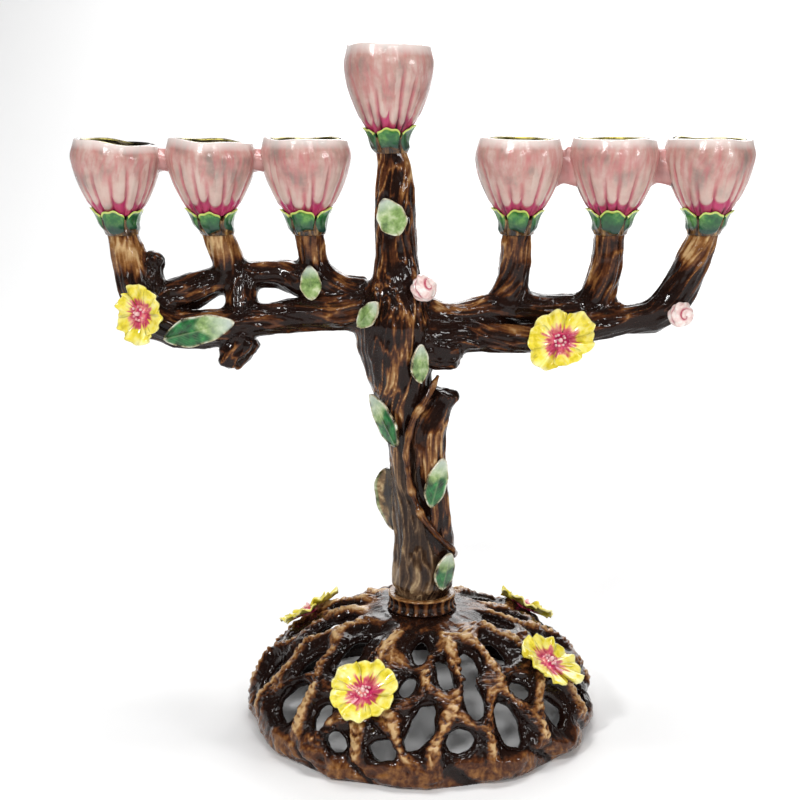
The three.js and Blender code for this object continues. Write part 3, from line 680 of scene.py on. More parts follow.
def blossom_glaze(tree):
    mottle = texture(tree, 300, 4)
    way = attribute(tree, "way")
    streak = attribute(tree, "streak")
    reach = math_node(tree, "ADD", way, share(tree, streak, 0.34, -0.17))
    yellow = ramp(
        tree, mottle, (0.3, (0.6, 0.48, 0.02)), (0.46, (0.88, 0.74, 0.06)), (0.66, (0.95, 0.88, 0.32))
    )
    pink = ramp(
        tree, mottle, (0.38, (0.36, 0.006, 0.07)), (0.52, (0.66, 0.05, 0.15)), (0.66, (0.9, 0.42, 0.32))
    )
    heart = ramp(tree, reach, (0.16, WHITE), (0.42, (0.85, 0.85, 0.85)), (0.5, BLACK))
    ring = ramp(tree, reach, (0.2, BLACK), (0.3, WHITE), (0.44, BLACK))
    colour = mix(tree, share(tree, attribute(tree, "shade"), 0.6), yellow, (0.3, 0.26, 0.02))
    colour = mix(tree, heart, colour, pink)
    colour = mix(tree, share(tree, ring, 0.6), colour, (0.42, 0.01, 0.09))
    # Painted highlight: the petals pale towards their tips.
    colour = mix(tree, share(tree, fade(tree, way, 0.86, 1), 0.5), colour, (0.95, 0.92, 0.55))
    colour = mix(tree, attribute(tree, "bead"), colour, (0.88, 0.6, 0.6))
    relief = math_node(tree, "ADD", mottle, streak)
    return dict(colour=colour, rough=(mottle, 0.2, 0.14), relief=(relief, 0.3, 0.0002), coat=(0.7, 0.05))


def rosebud_glaze(tree):
    mottle = texture(tree, 500, 3)
    base = ramp(
        tree, mottle, (0.3, (0.7, 0.42, 0.4)), (0.5, (0.86, 0.68, 0.64)), (0.68, (0.92, 0.86, 0.82))
    )
    colour = mix(tree, attribute(tree, "fold"), base, (0.5, 0.03, 0.09))
    return dict(colour=colour, rough=(mottle, 0.2, 0.12), relief=(mottle, 0.3, 0.00015), coat=(0.8, 0.05))


def liner_brass(tree):
    spots = texture(tree, 500, 4)
    colour = ramp(
        tree, spots, (0.3, (0.07, 0.055, 0.015)), (0.55, (0.32, 0.27, 0.06)), (0.75, (0.6, 0.55, 0.2))
    )
    # Painted shade: the liner's inside goes near black.
    colour = mix(tree, attribute(tree, "deep"), colour, (0.03, 0.024, 0.014))
    return dict(colour=colour, rough=(spots, 0.4, 0.1), relief=(spots, 0.3, 0.0001))


def clamp_steel(tree):
    brushed = texture(tree, 900, 4, (1, 1, 0.15))
    colour = ramp(tree, brushed, (0.3, (0.33, 0.33, 0.34)), (0.7, (0.62, 0.62, 0.63)))
    return dict(colour=colour, rough=(brushed, 0.35, 0.2), relief=(brushed, 0.3, 0.0001))


def new_material(look):
    """A material with a look's colour, roughness and relief: bare metal, or under the look's clear coat."""
    material = bpy.data.materials.new(look.__name__)
    material.use_nodes = True
    tree = material.node_tree
    shader = tree.nodes["Principled BSDF"].inputs
    given = look(tree)
    normal = bump(tree, *given["relief"])
    put(tree, shader["Base Color"], given["colour"])
    put(tree, shader["Roughness"], share(tree, *given["rough"]))
    put(tree, shader["Normal"], normal)
    put(tree, shader["Coat Normal"], given.get("coat_normal", normal))
    if "coat" in given:
        weight, roughness = given["coat"]
        put(tree, shader["Coat Weight"], weight)
        put(tree, shader["Coat Roughness"], roughness)
        put(tree, shader["Coat IOR"], given.get("coat_ior", 1.45))
        put(tree, shader["Specular IOR Level"], given.get("specular", 0.2))
    else:
        put(tree, shader["Metallic"], 1.0)
    return material


GLAZES = (bark_glaze, petal_glaze, calyx_glaze, leaf_glaze, blossom_glaze, rosebud_glaze)
MATERIALS = {look.__name__: new_material(look) for look in (*GLAZES, liner_brass, clamp_steel)}

# ---------------------------------------------------------------- wood

# The remesh's cells in millimetres, and how many rounds its inner corners are filled for.
WOOD_VOXEL, DOME_VOXEL, FILL_ROUNDS = ((0.5, 0.62, 110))
WOOD_SWELL = 0.28
BARK_THICK = 0.9
WOODS = sorted({key.split("/")[0] for key in LIMBS})
BOUGHS = ("left_bough", "left_upper_limb", "left_spur", "right_bough", "right_upper_limb")
RAGGED = ("burr_knot", "left_stub", "left_spur")
KNOB = (14.4, -5.2, 120.6)  # the dark knob at the top of the side stem, and the hollow before it
HOLLOW = (8.6, -6, 123)
CENTRE_STEM_X = -7


def shell_piece(name, node, co, normal, quads, values):
    """A closed skin out of quads of a larger surface: the quads, the same moved inwards, and a rim."""
    kept, flat = np.unique(quads, return_inverse=True)
    outer = flat.reshape(-1, 4)
    n = len(kept)
    inner = outer[:, ::-1] + n
    a = outer.ravel()
    b = np.roll(outer, -1, axis=1).ravel()
    back = set((b.astype(np.int64) * n + a).tolist())
    rim = [(q, p, p + n, q + n) for p, q in zip(a.tolist(), b.tolist()) if p * n + q not in back]
    points = np.vstack([co[kept], co[kept] - normal[kept] * BARK_THICK])
    data = {key: np.concatenate([v[kept], v[kept]]) for key, v in values.items()}
    add_piece(name, node, "bark_glaze", points, outer.tolist() + inner.tolist() + rim, data)


def near(co, place, size):
    """1 at a place, fading out round it."""
    return np.exp(-((co - place) ** 2).sum(1) / size)


def smooth_tops(co):
    """0 where a stem enters its calyx, so that nothing swells through it, and 1 elsewhere."""
    central = np.abs(co[:, 0] - CENTRE_STEM_X) < 9
    return np.where(central, smoothstep(204, 199, co[:, 2]), smoothstep(176, 172, co[:, 2]))


def build_wood():
    """The limbs' bark: one surface, displaced and toned, then cut up into a skin per wood node."""
    co, edges, quads = remeshed(WOODS, WOOD_SWELL, WOOD_VOXEL)
    co = fill_corners(co, edges, quads, FILL_ROUNDS)
    co = relax(co, edges, 10)
    normal = normals_of(co, quads)
    nearest, broad, fine, joint_shade, grain = bark_fields(co)
    owner = np.array([WOODS.index(key.split("/")[0]) for key in LIMBS])[nearest]
    side, calm, ragged = (
        np.isin(owner, [WOODS.index(name) for name in names]) for names in (("side_stem",), BOUGHS, RAGGED)
    )
    lumps = fractal(co / 8.5, 2) - 0.5
    ridges, flutes = crest(fine), crest(broad)
    knob = near(co, KNOB, 6.5) * side
    depth = lumps + 0.5 * (flutes - 0.4) + 0.4 * (ridges - 0.4)
    depth = depth + 1.7 * knob - 0.9 * near(co, HOLLOW, 5) * side
    depth = depth + 2.6 * ragged * (fractal(co / 3.6, 1, 2) - 0.5)
    co = co + normal * (depth * smooth_tops(co))[:, None]
    co = relax(co, edges, 1)

    # How golden each point is: by its streaks, then calmer on the boughs, with painted shade where limbs join
    # and on the undersides of the boughs, and a painted shadow beside the vine.
    normal = normals_of(co, quads)
    x, _, z = co.T
    soft = fractal(co / (14, 14, 9), 3, 2)
    ridge = 0.02 + 0.6 * ridges**3 + 0.32 * flutes**2 + 0.55 * lumps
    ridge = np.where(calm, 0.17 + 0.4 * ridges**4 + 0.14 * flutes**2 + 0.9 * (soft - 0.42), ridge)
    # Painted shade on the undersides of the boughs.
    ridge = ridge - 0.28 * smoothstep(-0.1, -0.8, normal[:, 2]) * calm
    stem_top = smoothstep(158, 172, z) * (np.abs(x - CENTRE_STEM_X) > 9) + smoothstep(186, 200, z)
    ridge = ridge + np.clip(stem_top, 0, 1) * (0.06 + 0.16 * soft) - 0.14 * ragged
    # Painted shade where limbs join.
    ridge = ridge * (1 - 0.75 * joint_shade * (0.4 + 1.2 * noise(co / 4, 2)))
    ridge = np.where(side, ridge * smoothstep(124, 120, z) + 0.8 * knob * (knob < 0.5), ridge)
    # Painted shadow on the bark beside the vine, on one side of it.
    off_vine, _, beside, _ = on_limb(co, VINE)
    ridge = ridge * (1 - 0.85 * bell(np.maximum(off_vine, 0), 1.8) * smoothstep(-0.5, 0.5, beside))
    ridge = ridge + 0.2 * side * smoothstep(92, 99, z) * smoothstep(119, 114, z)
    pale = smoothstep(110, 78, z) * smoothstep(13, 5, x) * (owner == WOODS.index("trunk"))
    values = {"ridge": np.clip(ridge, 0, 1), "pale": pale, "grain": grain}
    face_owner = owner[quads[:, 0]]
    for k, name in enumerate(WOODS):
        shell_piece(name + "_bark", name, co, normal, quads[face_owner == k], values)


VINE_COLUMNS = 18
TRUNK_X = 2.0


def build_vine():
    """The vine as a knotty cord, golden along the side that faces away from the trunk."""
    centre, radius, along, direction = centreline(VINE)
    across, out = frame_across(direction)
    angle = around(VINE_COLUMNS)
    way = along[:, None]
    taper = smoothstep(-1, 5, along) * smoothstep(along[-1] + 1.5, along[-1] - 7, along) * 0.5 + 0.5
    knobs = spread_noise(1, along / 3.4, 0, 0, octaves=2)
    knots = spread_noise(9, along / 2.6, 0, 0) ** 2
    girth = (radius * taper * (0.5 + 0.4 * knobs + 0.5 * knots))[:, None]
    girth = girth * (1 + 0.12 * np.sin(2 * angle + way / 2))
    spoke = np.cos(angle)[..., None] * across[:, None] + np.sin(angle)[..., None] * out[:, None]
    co = centre[:, None] + girth[..., None] * spoke
    from_trunk = centre * (1, 1, 0) - (TRUNK_X, 0, 0)
    from_trunk /= np.linalg.norm(from_trunk, axis=1, keepdims=True)
    side = (spoke * from_trunk[:, None]).sum(2)
    ridge = 0.08 + 0.6 * smoothstep(-0.1, 0.8, side) * (0.45 + 0.5 * knobs[:, None] + 0.8 * knots[:, None])
    grain = np.stack(np.broadcast_arrays(3 * np.cos(angle), 3 * np.sin(angle), way / 3), axis=-1)
    values = {"ridge": np.append(ridge, [0.1, 0.1]), "pale": np.zeros(ridge.size + 2)}
    values["grain"] = np.vstack([grain.reshape(-1, 3), grain[0, 0], grain[-1, 0]])
    co = np.vstack([co.reshape(-1, 3), centre[0], centre[-1]])
    add_piece("twining_vine_bark", "twining_vine", "bark_glaze", co, capped_faces(*girth.shape), values)


# ---------------------------------------------------------------- cups

SOCKET_DEPTH = 17
TULIP = [(6.8, 0), (8.6, 0.09), (11.3, 0.27), (14.1, 0.53), (15.2, 0.78), (13.9, 1)]
SIDE_CUP = dict(rim=209.2, height=26.2)
CUPS = {
    "left_outer": dict(SIDE_CUP, x=-100, lean=(1.7, 0), tilt=1.3),
    "left_middle": dict(SIDE_CUP, x=-68, lean=(2.2, 1.2), tilt=0.8),
    "left_inner": dict(SIDE_CUP, x=-36, lean=(1, 1)),
    "centre": dict(x=-8, rim=240, height=29.4, lean=(1.3, 0)),
    "right_inner": dict(SIDE_CUP, x=36, lean=(-0.7, 0.8)),
    "right_middle": dict(SIDE_CUP, x=68, lean=(-1, 0.8)),
    "right_outer": dict(SIDE_CUP, x=100, lean=(-1.4, 0)),
}
CUP_COLUMNS, CUP_ROWS = 240, 58
FINGERS = 17
# Steps in and up from the lip's edge, then the socket's radius at its mouth and its taper.
LIP_ROLLS = [(-0.22, 0.2), (-0.7, 0.34), (-1.25, 0.2), (-1.6, -0.3)]
SOCKET_SHARES = (0.1, 0.35, 0.7, 1)
SOCKET_RADIUS, SOCKET_TAPER, SOCKET_FLOOR = 11.7, 1.1, 0.9


def rim_wave(angle, seed, tilt):
    """How far the lip of a cup dips at an angle: most at the back, and on the right by its tilt."""
    ripple = 0.26 * (1 + np.sin(3 * angle + 1.9 * seed)) + 0.14 * (1 + np.sin(5 * angle + 2.7 * seed))
    return ripple + 0.45 * (1 - np.cos(angle)) + tilt * (1 + np.sin(angle))


def petal_fingers(angle, seed):
    """The cup's long fingers: place across the finger from -1 to 1, half width, and two random heights."""
    rng = np.random.default_rng(100 + seed)
    widths = rng.uniform(0.6, 1.4, FINGERS)
    edges = np.concatenate([[0], np.cumsum(widths)]) / widths.sum() * 2 * math.pi
    vein = rng.uniform(0.3, 0.78, FINGERS + 1)
    vein[-1] = vein[0]
    drip = rng.uniform(0.07, 0.2, FINGERS)
    k = np.clip(np.searchsorted(edges, angle, side="right") - 1, 0, FINGERS - 1)
    half = (edges[k + 1] - edges[k]) / 2
    u = (angle - edges[k]) / half - 1
    return u, half, np.where(u < 0, vein[k], vein[k + 1]), drip[k]


def build_cup(name, x, rim, height, seed, tilt):
    """A tulip of clay whose fingers are parted by crimson lines, hollowed out to hold its liner."""
    angle = around(CUP_COLUMNS)
    t = np.linspace(0, 1, CUP_ROWS)[:, None] ** 0.9
    base = curve_through(TULIP, t)
    wobble = 0.05 * np.sin(angle * 2 + seed) + 0.022 * np.sin(t * 9 + angle * 3 + seed)
    u, half, vein, drip = petal_fingers((angle + wobble * t) % TURN, seed)
    edge = (1 - np.abs(u)) * half * base
    low_line = smoothstep(vein + 0.08, vein - 0.22, t)
    line = bell(edge, 0.3) * low_line * (0.35 + 0.65 * smoothstep(0.35, 0.6, vein))
    rounded = drip + 0.1 * (1 - np.sqrt(np.clip(1 - u**2, 0, 1)))
    crimson = smoothstep(rounded + 0.018, rounded - 0.018, t)
    rose = bell(edge, 1.5) * smoothstep(1.0, 0.35, t) * (0.15 + 0.45 * low_line)
    pale = smoothstep(0.35, 1.1, edge) * smoothstep(vein + 0.12, vein - 0.2, t) * (1 - crimson)
    pale = np.maximum(pale, 0.9 * bell(t - rounded - 0.035, 0.018) * (np.abs(u) < 0.9))

    # Angles run from the front here, so that what is random meets itself out of sight, at the back.
    turned = np.where(angle > math.pi, angle - TURN, angle)
    strokes = crest(spread_noise(seed, turned * 13 + 1.6 * np.sin(5 * t + seed), t * 2.2, 5.3 * seed))
    strokes = strokes**2 * smoothstep(1.0, 0.7, t)
    shadow = spread_noise(0, turned * 3, t * 4, seed, octaves=3)
    # Painted shade: dark touches low on the cup along its lines, and a dark streak down its left side.
    dark = smoothstep(0.5, 0.62, shadow) * smoothstep(0.3, 0.05, t) * (0.3 + 0.7 * line)
    painted_shade_line = bell(turned + 1.45 + 0.1 * np.sin(9 * t), 0.13) * smoothstep(0.5, 0.35, t)
    dark = np.maximum(dark, 0.85 * painted_shade_line * smoothstep(0.35, 0.55, shadow))

    lobes = np.sin(4 * angle + 1.3 * seed) * 0.3 + np.sin(6 * angle + 2.1 * seed) * 0.12
    r = base - 0.55 * line + 0.3 * (1 - u**2) * smoothstep(0.85, 0.1, t) - 0.25 * crimson
    r = r + lobes * smoothstep(0.45, 0.95, t) - 0.12 * strokes + 0.35 * (shadow - 0.5)
    z = height * t - rim_wave(angle, seed, tilt) * smoothstep(0.6, 1, t)
    inner = [(r[-1] + dr, z[-1] + dz) for dr, dz in LIP_ROLLS]
    flat = 0 * r[-1]
    for part in SOCKET_SHARES:
        wall = SOCKET_RADIUS - SOCKET_TAPER * part
        level = height - SOCKET_FLOOR - SOCKET_DEPTH * part
        inner.append((wall + flat, level + flat))

    def padded(v, *fill):
        fill = np.array(fill * (len(inner) // len(fill)))[:, None]
        return np.vstack([v + 0 * angle, fill + 0 * angle])

    values = {
        "crimson": padded(np.maximum(crimson, 0.8 * line * smoothstep(0.5, 0.15, t)), 0.0),
        "rose": padded(np.maximum(np.maximum(rose, 0.8 * line), 0.45 * strokes), 0.0),
        # Painted shade on the inner lip rolls and down the socket.
        "dark": padded(dark, 0.0, 0.0, 1.0, 1.0, 1.0, 1.0, 1.0, 1.0),
        "pale": padded(pale, 0.4),
        "height": padded(t, 1.0),
    }
    r = np.vstack([r, *(row for row, _ in inner)])
    z = np.vstack([z, *(row for _, row in inner)])
    at = (x, 0, rim - height)
    add_round_solid(f"petals_{name}", f"petal_cup_{name}", "petal_glaze", r, z, values, at)


LINER_COLUMNS = 96
# The liner's radius and height at each ring, and how much of the cup's dip the ring follows.
LINER_OUTSIDE = [
    (10.2, -17.6, 0), (10.35, -16, 0), (10.95, -6, 0), (11.05, -1.6, 0.6), (11.15, -0.5, 1),
    (11.45, -0.25, 1), (11.75, -0.2, 1), (11.9, 0, 1), (11.75, 0.2, 1), (11.45, 0.28, 1), (11.1, 0.15, 1),
    (10.8, -0.1, 1),
]
LINER_INSIDE = [
    (10.62, -0.8, 0.7), (10.5, -4, 0), (10.1, -10, 0), (9.9, -15.6, 0), (9.5, -16.8, 0), (8.8, -17, 0),
    (2, -17, 0),
]


def columns_of(profile, angle):
    """A profile's columns of numbers, each as a grid that is the same at every angle."""
    return [np.array(column)[:, None] + 0 * angle for column in zip(*profile)]


def build_liner(name, x, rim, seed, tilt):
    """A thin metal cup whose lip rolls over the clay and dips with it."""
    angle = around(LINER_COLUMNS)
    r, z, follows = columns_of(LINER_OUTSIDE + LINER_INSIDE, angle)
    z = z - follows * rim_wave(angle, seed, tilt)
    # Painted shade: the liner's inside darkens below its lip.
    deep = smoothstep(0.1, -1.6, z)
    deep[: len(LINER_OUTSIDE)] = 0
    add_round_solid(f"liner_{name}", f"candle_liner_{name}", "liner_brass", r, z, {"deep": deep}, (x, 0, rim))


SEPALS = 5
CALYX_COLUMNS, CALYX_ROWS = 200, 34
CALYX_LOW, LEAN_FROM, LEAN_OVER = -6.8, -3, 6
CALYX_BODY = [(5.1, -9), (5.7, -6.4), (6.2, -3), (7.1, 0), (8.1, 1.6), (9.2, 3.2)]
CALYX_HUG = [(4.6, -9), (5.0, -3), (5.2, -0.4), (7.2, 0.6), (8.1, 2.2), (8.8, 3.2)]
HUG_SHARES = (0.0, 0.4, 0.75, 1.0)


def build_calyx(name, x, rim, height, lean, seed):
    """Green tongues that grip the cup's foot, over a dark collar that follows the stem."""
    rng = np.random.default_rng(300 + seed)
    angle = around(CALYX_COLUMNS)
    pitch = TURN / SEPALS
    turned = (angle + pitch * rng.uniform(0.46, 0.66)) % TURN
    k = np.minimum((turned / pitch).astype(int), SEPALS - 1)
    u = (turned - k * pitch) / pitch * 2 - 1
    tall = rng.uniform(0.75, 1.1, SEPALS)[k]
    broad = rng.uniform(0.82, 0.98, SEPALS)[k]
    arch = np.sqrt(np.clip(1 - (u / broad) ** 2, 0, 1))
    top = -1.5 + 3.7 * arch * tall + 0.25 * np.sin(9 * u + seed)
    z = CALYX_LOW + (top - CALYX_LOW) * np.linspace(0, 1, CALYX_ROWS)[:, None]
    narrow = broad * (0.78 + 0.22 * smoothstep(-7, -2, z))
    tongue = smoothstep(narrow + 0.1, narrow - 0.12, np.abs(u))
    tongue = tongue * smoothstep(-6.4, -4.2, z + 0.8 * np.sin(3 * turned + seed))
    lip = bell(top - z, 0.7) * tongue * smoothstep(-1.0, 0.2, top)
    r = curve_through(CALYX_BODY, z) + 0.75 * tongue + 0.16 * bell(u, 0.12) * tongue
    r = r + 0.12 * np.sin(7 * turned + z) + 0.25 * lip
    high = (z + 9) / 12
    last = r[-1] - 0.5
    for part in HUG_SHARES:
        level = top + (CALYX_LOW - top) * part
        r = np.vstack([r, np.minimum(curve_through(CALYX_HUG, level), last)])
        z = np.vstack([z, level])
    extra = np.zeros((len(HUG_SHARES), CALYX_COLUMNS))
    tones = {"sepal": tongue, "lip": lip, "high": high}
    values = {key: np.vstack([tone, extra]).ravel() for key, tone in tones.items()}
    leaning = np.clip(LEAN_FROM - z, 0, LEAN_OVER) / LEAN_OVER
    co = rings(r, z) + leaning.reshape(-1, 1) * (*lean, 0) + (x, 0, rim - height)
    add_piece(f"sepals_{name}", f"calyx_{name}", "calyx_glaze", co, ring_faces(*r.shape, True), values)


WEB_ROWS, WEB_COLUMNS, WEB_REACH, WEB_DEEP = 19, 64, 3.4, 3.2
WEB_BUMP = 2.0  # where round the right inner web its small bump sits: high up on the front
# Each web's height, and half of its own height.
WEBS = {
    "left_outer": (201, 3.7),
    "left_middle": (201, 3.7),
    "right_inner": (198.8, 5.6),
    "right_middle": (198.8, 5.6),
}
HALF_PITCH = 16


def build_web(name, level, half):
    """A waisted bar of petal clay from one cup to the next."""
    middle = CUPS[name]["x"] + HALF_PITCH
    x = np.linspace(-WEB_REACH, WEB_REACH, WEB_ROWS)[:, None]
    angle = around(WEB_COLUMNS)
    girth = 1 + 0.012 * x**2 + 0.06 * np.sin(3 * angle + middle) + 0.04 * np.sin(5 * angle - x)
    if name == "right_inner":
        girth = girth + 0.3 * bell(x - 0.4, 1.1) * bell(angle - WEB_BUMP, 0.3)
    co = np.stack([x + 0 * angle, WEB_DEEP * girth * np.cos(angle), half * girth * np.sin(angle)], axis=-1)
    ends = [(-WEB_REACH - 0.1, 0, 0), (WEB_REACH + 0.1, 0, 0)]
    co = np.vstack([co.reshape(-1, 3), ends])
    tones = {"crimson": 0, "rose": 0.55, "pale": 0.3, "height": 0.8, "dark": 0}
    values = {key: np.full(len(co), tone) for key, tone in tones.items()}
    faces = capped_faces(WEB_ROWS, WEB_COLUMNS)
    add_piece(f"web_{name}", f"petal_web_{name}", "petal_glaze", co + (middle, 0, level), faces, values)


def build_cups():
    for seed, (name, cup) in enumerate(CUPS.items()):
        tilt = cup.get("tilt", 0.15)
        build_cup(name, cup["x"], cup["rim"], cup["height"], seed, tilt)
        build_liner(name, cup["x"], cup["rim"], seed, tilt)
        build_calyx(name, cup["x"], cup["rim"], cup["height"], cup["lean"], seed)
    for name, (level, half) in WEBS.items():
        build_web(name, level, half)


# ---------------------------------------------------------------- leaves

# deep says how dark the green at the leaf's foot is.
LEAVES = {
    "leaf_centre_stem": dict(at=(-7.2, -7.6, 183), azimuth=-4, spin=24, length=13.5, width=9.6, deep=0.1),
    "leaf_left_stem": dict(at=(-34.8, -3.6, 160), pitch=6, spin=4, length=12, width=7, deep=0.0),
    "leaf_fork_left": dict(
        at=(-14.6, -12.2, 150.6), azimuth=-38, pitch=4, spin=-42, length=12.5, width=6.6, deep=0.2
    ),
    "leaf_fork_right": dict(at=(2.2, -10.9, 133.4), azimuth=36, length=13.6, width=7, deep=0.15),
    "leaf_trunk_left": dict(at=(-9.4, -7.6, 112.6), azimuth=-46, spin=38, length=21, width=8.4, deep=1.0),
    "leaf_trunk_right": dict(at=(8.2, -11.2, 91.2), azimuth=26, spin=-16, length=18, width=8, deep=1.0),
    "leaf_trunk_foot": dict(at=(11.2, -9.2, 58), azimuth=44, spin=-18, length=13.5, width=9, deep=1.0),
    "leaf_left_bough": dict(at=(-72.4, -10.8, 145), pitch=-6, spin=-76, length=25, width=10, deep=1.0),
    "bract_trunk_back": dict(
        at=(-7.2, 2.2, 81.4), azimuth=-32, spin=187, length=23, width=11.8, deep=0.5, brown=0.9, curl=1.5
    ),
}
LEAF_ROWS, LEAF_COLUMNS = 56, 29
LEAF_THICK = 0.85


def build_leaf(name, place):
    """A pointed blade with a raised rim, a midrib and slanting veins."""
    v = np.linspace(0, 1, LEAF_ROWS)[:, None]
    u = np.linspace(-1, 1, LEAF_COLUMNS)[None, :]
    seed = len(name)
    length, brown, curl = place["length"], place.get("brown", 0), place.get("curl", 0)
    half = place["width"] / 2 * (4 * v * (1 - v)) ** 0.72 * (1 + 0.12 * np.cos(math.pi * v)) + 0.12
    half = half * (1 + 0.04 * np.sin(17 * v + seed))
    x = half * u
    rim = np.maximum(bell((1 - np.abs(u)) * half, 0.45), bell(np.minimum(v, 1 - v) * length, 0.9))
    rib = bell(x, 0.3) * smoothstep(0.95, 0.7, v)
    slant = v * length - np.abs(x) * 1.1
    veins = crest(0.5 + 0.5 * np.sin(slant * 2.6)) * (np.abs(u) < 0.85)
    z = 0.75 + 0.3 * rim + 0.2 * rib + 0.1 * veins + 1.4 * (v - 0.45) ** 2 - 0.3 * u**2 * (1 - v)
    z = z + 1.6 * (1 - u**2) * v * (1 - v) + curl * u**2 * (1 - v)
    co, faces = plate(np.stack([x, length * (v - 0.5) + 0 * u, z], axis=-1), LEAF_THICK)
    tones = {
        "rim": rim,
        "green": place["deep"] * smoothstep(0.62, 0.5, v + 0.08 * np.sin(3 * u + seed)),
        "along": v,
        "brown": brown * smoothstep(0.95, 0.75, u),
        "rib": np.maximum(rib, 0.5 * veins),
        # Painted shade on the inner half of the curled bract.
        "inner": brown * smoothstep(0.46, 0.24, u + 0.1 * np.sin(11 * v)),
    }
    values = {key: np.tile((tone + 0 * x).ravel(), 2) for key, tone in tones.items()}
    add_piece(name + "_blade", name, "leaf_glaze", placed(co, facing(**place)), faces, values)


# ---------------------------------------------------------------- blossoms and rosebuds

FOOT_X = 3.6
BLOSSOMS = {
    "blossom_left_bough": dict(at=(-91.4, -10, 150.4), azimuth=-30, pitch=8, spin=12, radius=10.5),
    "blossom_right_bough": dict(
        at=(50, -9.8, 140.6), azimuth=2, pitch=22, spin=20, radius=12.9, squash=0.8, fold=2.1
    ),
}
# Azimuth and distance from the dome's axis.
ROOT_BLOSSOMS = [(-23, 49.8), (62, 48.6), (125, 47), (242, 46)]
PETALS = 6
PETAL_ROWS, PETAL_COLUMNS = 26, 31
PETAL_FOOT, PETAL_THICK = 1.2, 0.75
BEADS = 9


def petal(k, radius, fold, squash, rng):
    """One ruffled petal of a blossom, the k-th round it."""
    v = np.linspace(0, 1, PETAL_ROWS)[:, None]
    u = np.linspace(-1, 1, PETAL_COLUMNS)[None, :]
    size = radius * rng.uniform(0.88, 1.05) ** fold
    turn = TURN * (k + rng.uniform(-0.08, 0.08)) / PETALS
    phase = rng.uniform(0, 6.28)
    reach = PETAL_FOOT + (size - PETAL_FOOT) * v * (1 - 0.16 * u**2 * v - 0.05 * bell(u, 0.25) * v)
    reach = reach + 0.25 * np.sin(5 * u + phase) * v**2
    a = turn + u * math.radians(37) * np.sin(math.pi * (0.17 + 0.52 * v)) ** 0.7
    ruffle = 0.55 * np.sin(6.5 * u + phase) * v**2 + 0.3 * np.sin(11 * u + 2 * phase) * v**3
    ruffle = fold * ruffle + (fold - 1) * 1.3 * (k % 2) * v**2
    crease = -0.45 * bell(u, 0.16) * smoothstep(0.1, 0.4, v) * smoothstep(1, 0.7, v)
    z = 1.1 + 2.6 * v**1.4 - 0.9 * v**4 + ruffle + crease + 0.55 * u * v + 0.35 * (k % 2)
    co, faces = plate(np.stack([reach * np.sin(a), squash * reach * np.cos(a), z], axis=-1), PETAL_THICK)
    shade = bell(1 - np.abs(u), 0.14) + 0.7 * bell(u, 0.06) * smoothstep(0.7, 0.5, v)
    shade = shade * smoothstep(0.25, 0.5, v) * smoothstep(1, 0.8, v)
    streak = spread_noise(k, a * 9, reach * 0.25, k)
    tones = {"way": reach / radius, "streak": streak, "bead": 0 * a, "shade": np.clip(shade, 0, 1)}
    return co, [face[::-1] for face in faces], {key: np.tile(tone.ravel(), 2) for key, tone in tones.items()}


def ball(at, r, height, rows, columns, way, bead):
    """A flattened ball in a blossom's middle, with its place along the petals' colours."""
    polar = math.pi * np.arange(1, rows)[:, None] / rows
    angle = around(columns)
    z = -height * np.cos(polar) + 0 * angle
    ring = np.stack([r * np.sin(polar) * np.cos(angle), r * np.sin(polar) * np.sin(angle), z], axis=-1)
    co = np.vstack([ring.reshape(-1, 3), (0, 0, -height), (0, 0, height)]) + at
    return co, capped_faces(rows - 1, columns), {"way": way, "streak": 0.5, "bead": bead, "shade": 0.0}


def build_blossom(name, place):
    """Six petals round a heart with a ring of beads on it and one in the middle."""
    rng = np.random.default_rng(500 + len(name) + int(abs(place["at"][0])))
    shape = (place["radius"], place.get("fold", 1.2), place.get("squash", 1))
    parts = [petal(k, *shape, rng) for k in range(PETALS)]
    parts.append(ball((0, 0, 1.0), 3.3, 1.5, 8, 22, 0.12, 0.0))
    for k in range(BEADS):
        a = TURN * k / BEADS + rng.uniform(-0.2, 0.2)
        d = rng.uniform(1.5, 2.5)
        at = (d * math.cos(a), d * math.sin(a), 2.5 + rng.uniform(0, 0.4))
        parts.append(ball(at, 0.5, 0.6, 7, 14, 0.1, rng.uniform(0.4, 1)))
    parts.append(ball((0, 0, 3.0), 0.8, 1.3, 8, 14, 0.05, 0.9))
    co, faces, values = joined(parts)
    add_piece(name + "_petals", name, "blossom_glaze", placed(co, facing(**place)), faces, values)


ROSEBUDS = {
    "rosebud_fork": dict(at=(3.8, -8.8, 159), azimuth=40, pitch=20, radius=4.6),
    "rosebud_right_bough": dict(at=(91.6, -6.4, 149.4), azimuth=20, radius=4.4),
}
BUD_ROWS, BUD_COLUMNS, BUD_TURNS = 60, 96, 3.4


def build_rosebud(name, place):
    """A bud whose petals wind round each other in a spiral that opens at the front."""
    polar = np.linspace(math.pi - 0.02, 0.02, BUD_ROWS)[:, None]
    angle = around(BUD_COLUMNS)
    step = (angle / TURN + BUD_TURNS * polar / math.pi) % 1
    groove = bell(np.minimum(step, 1 - step), 0.11)
    petals = 0.93 + 0.12 * step * smoothstep(0, 0.5, polar) - 0.16 * groove * smoothstep(3.1, 2.2, polar)
    frill = np.sin(7 * angle + 9 * polar) * smoothstep(0.4, 1.2, polar) * smoothstep(2.6, 1.7, polar)
    swell = 1 + 0.04 * np.sin(3 * angle + 2 * polar) + 0.055 * frill * (0.4 + step)
    r = place["radius"] * petals * swell
    z = 0.85 * r * np.cos(polar) + 0.35 * groove * bell(polar, 0.8)
    co = np.stack([r * np.sin(polar) * np.cos(angle), r * np.sin(polar) * np.sin(angle), z], axis=-1)
    co = np.vstack([co.reshape(-1, 3), (0, 0, z[0, 0]), (0, 0, z[-1, -1])])
    fold = np.append(groove * smoothstep(2.6, 1.8, polar), [0, 1])
    faces = capped_faces(BUD_ROWS, BUD_COLUMNS)
    add_piece(name + "_petals", name, "rosebud_glaze", placed(co, facing(**place)), faces, {"fold": fold})


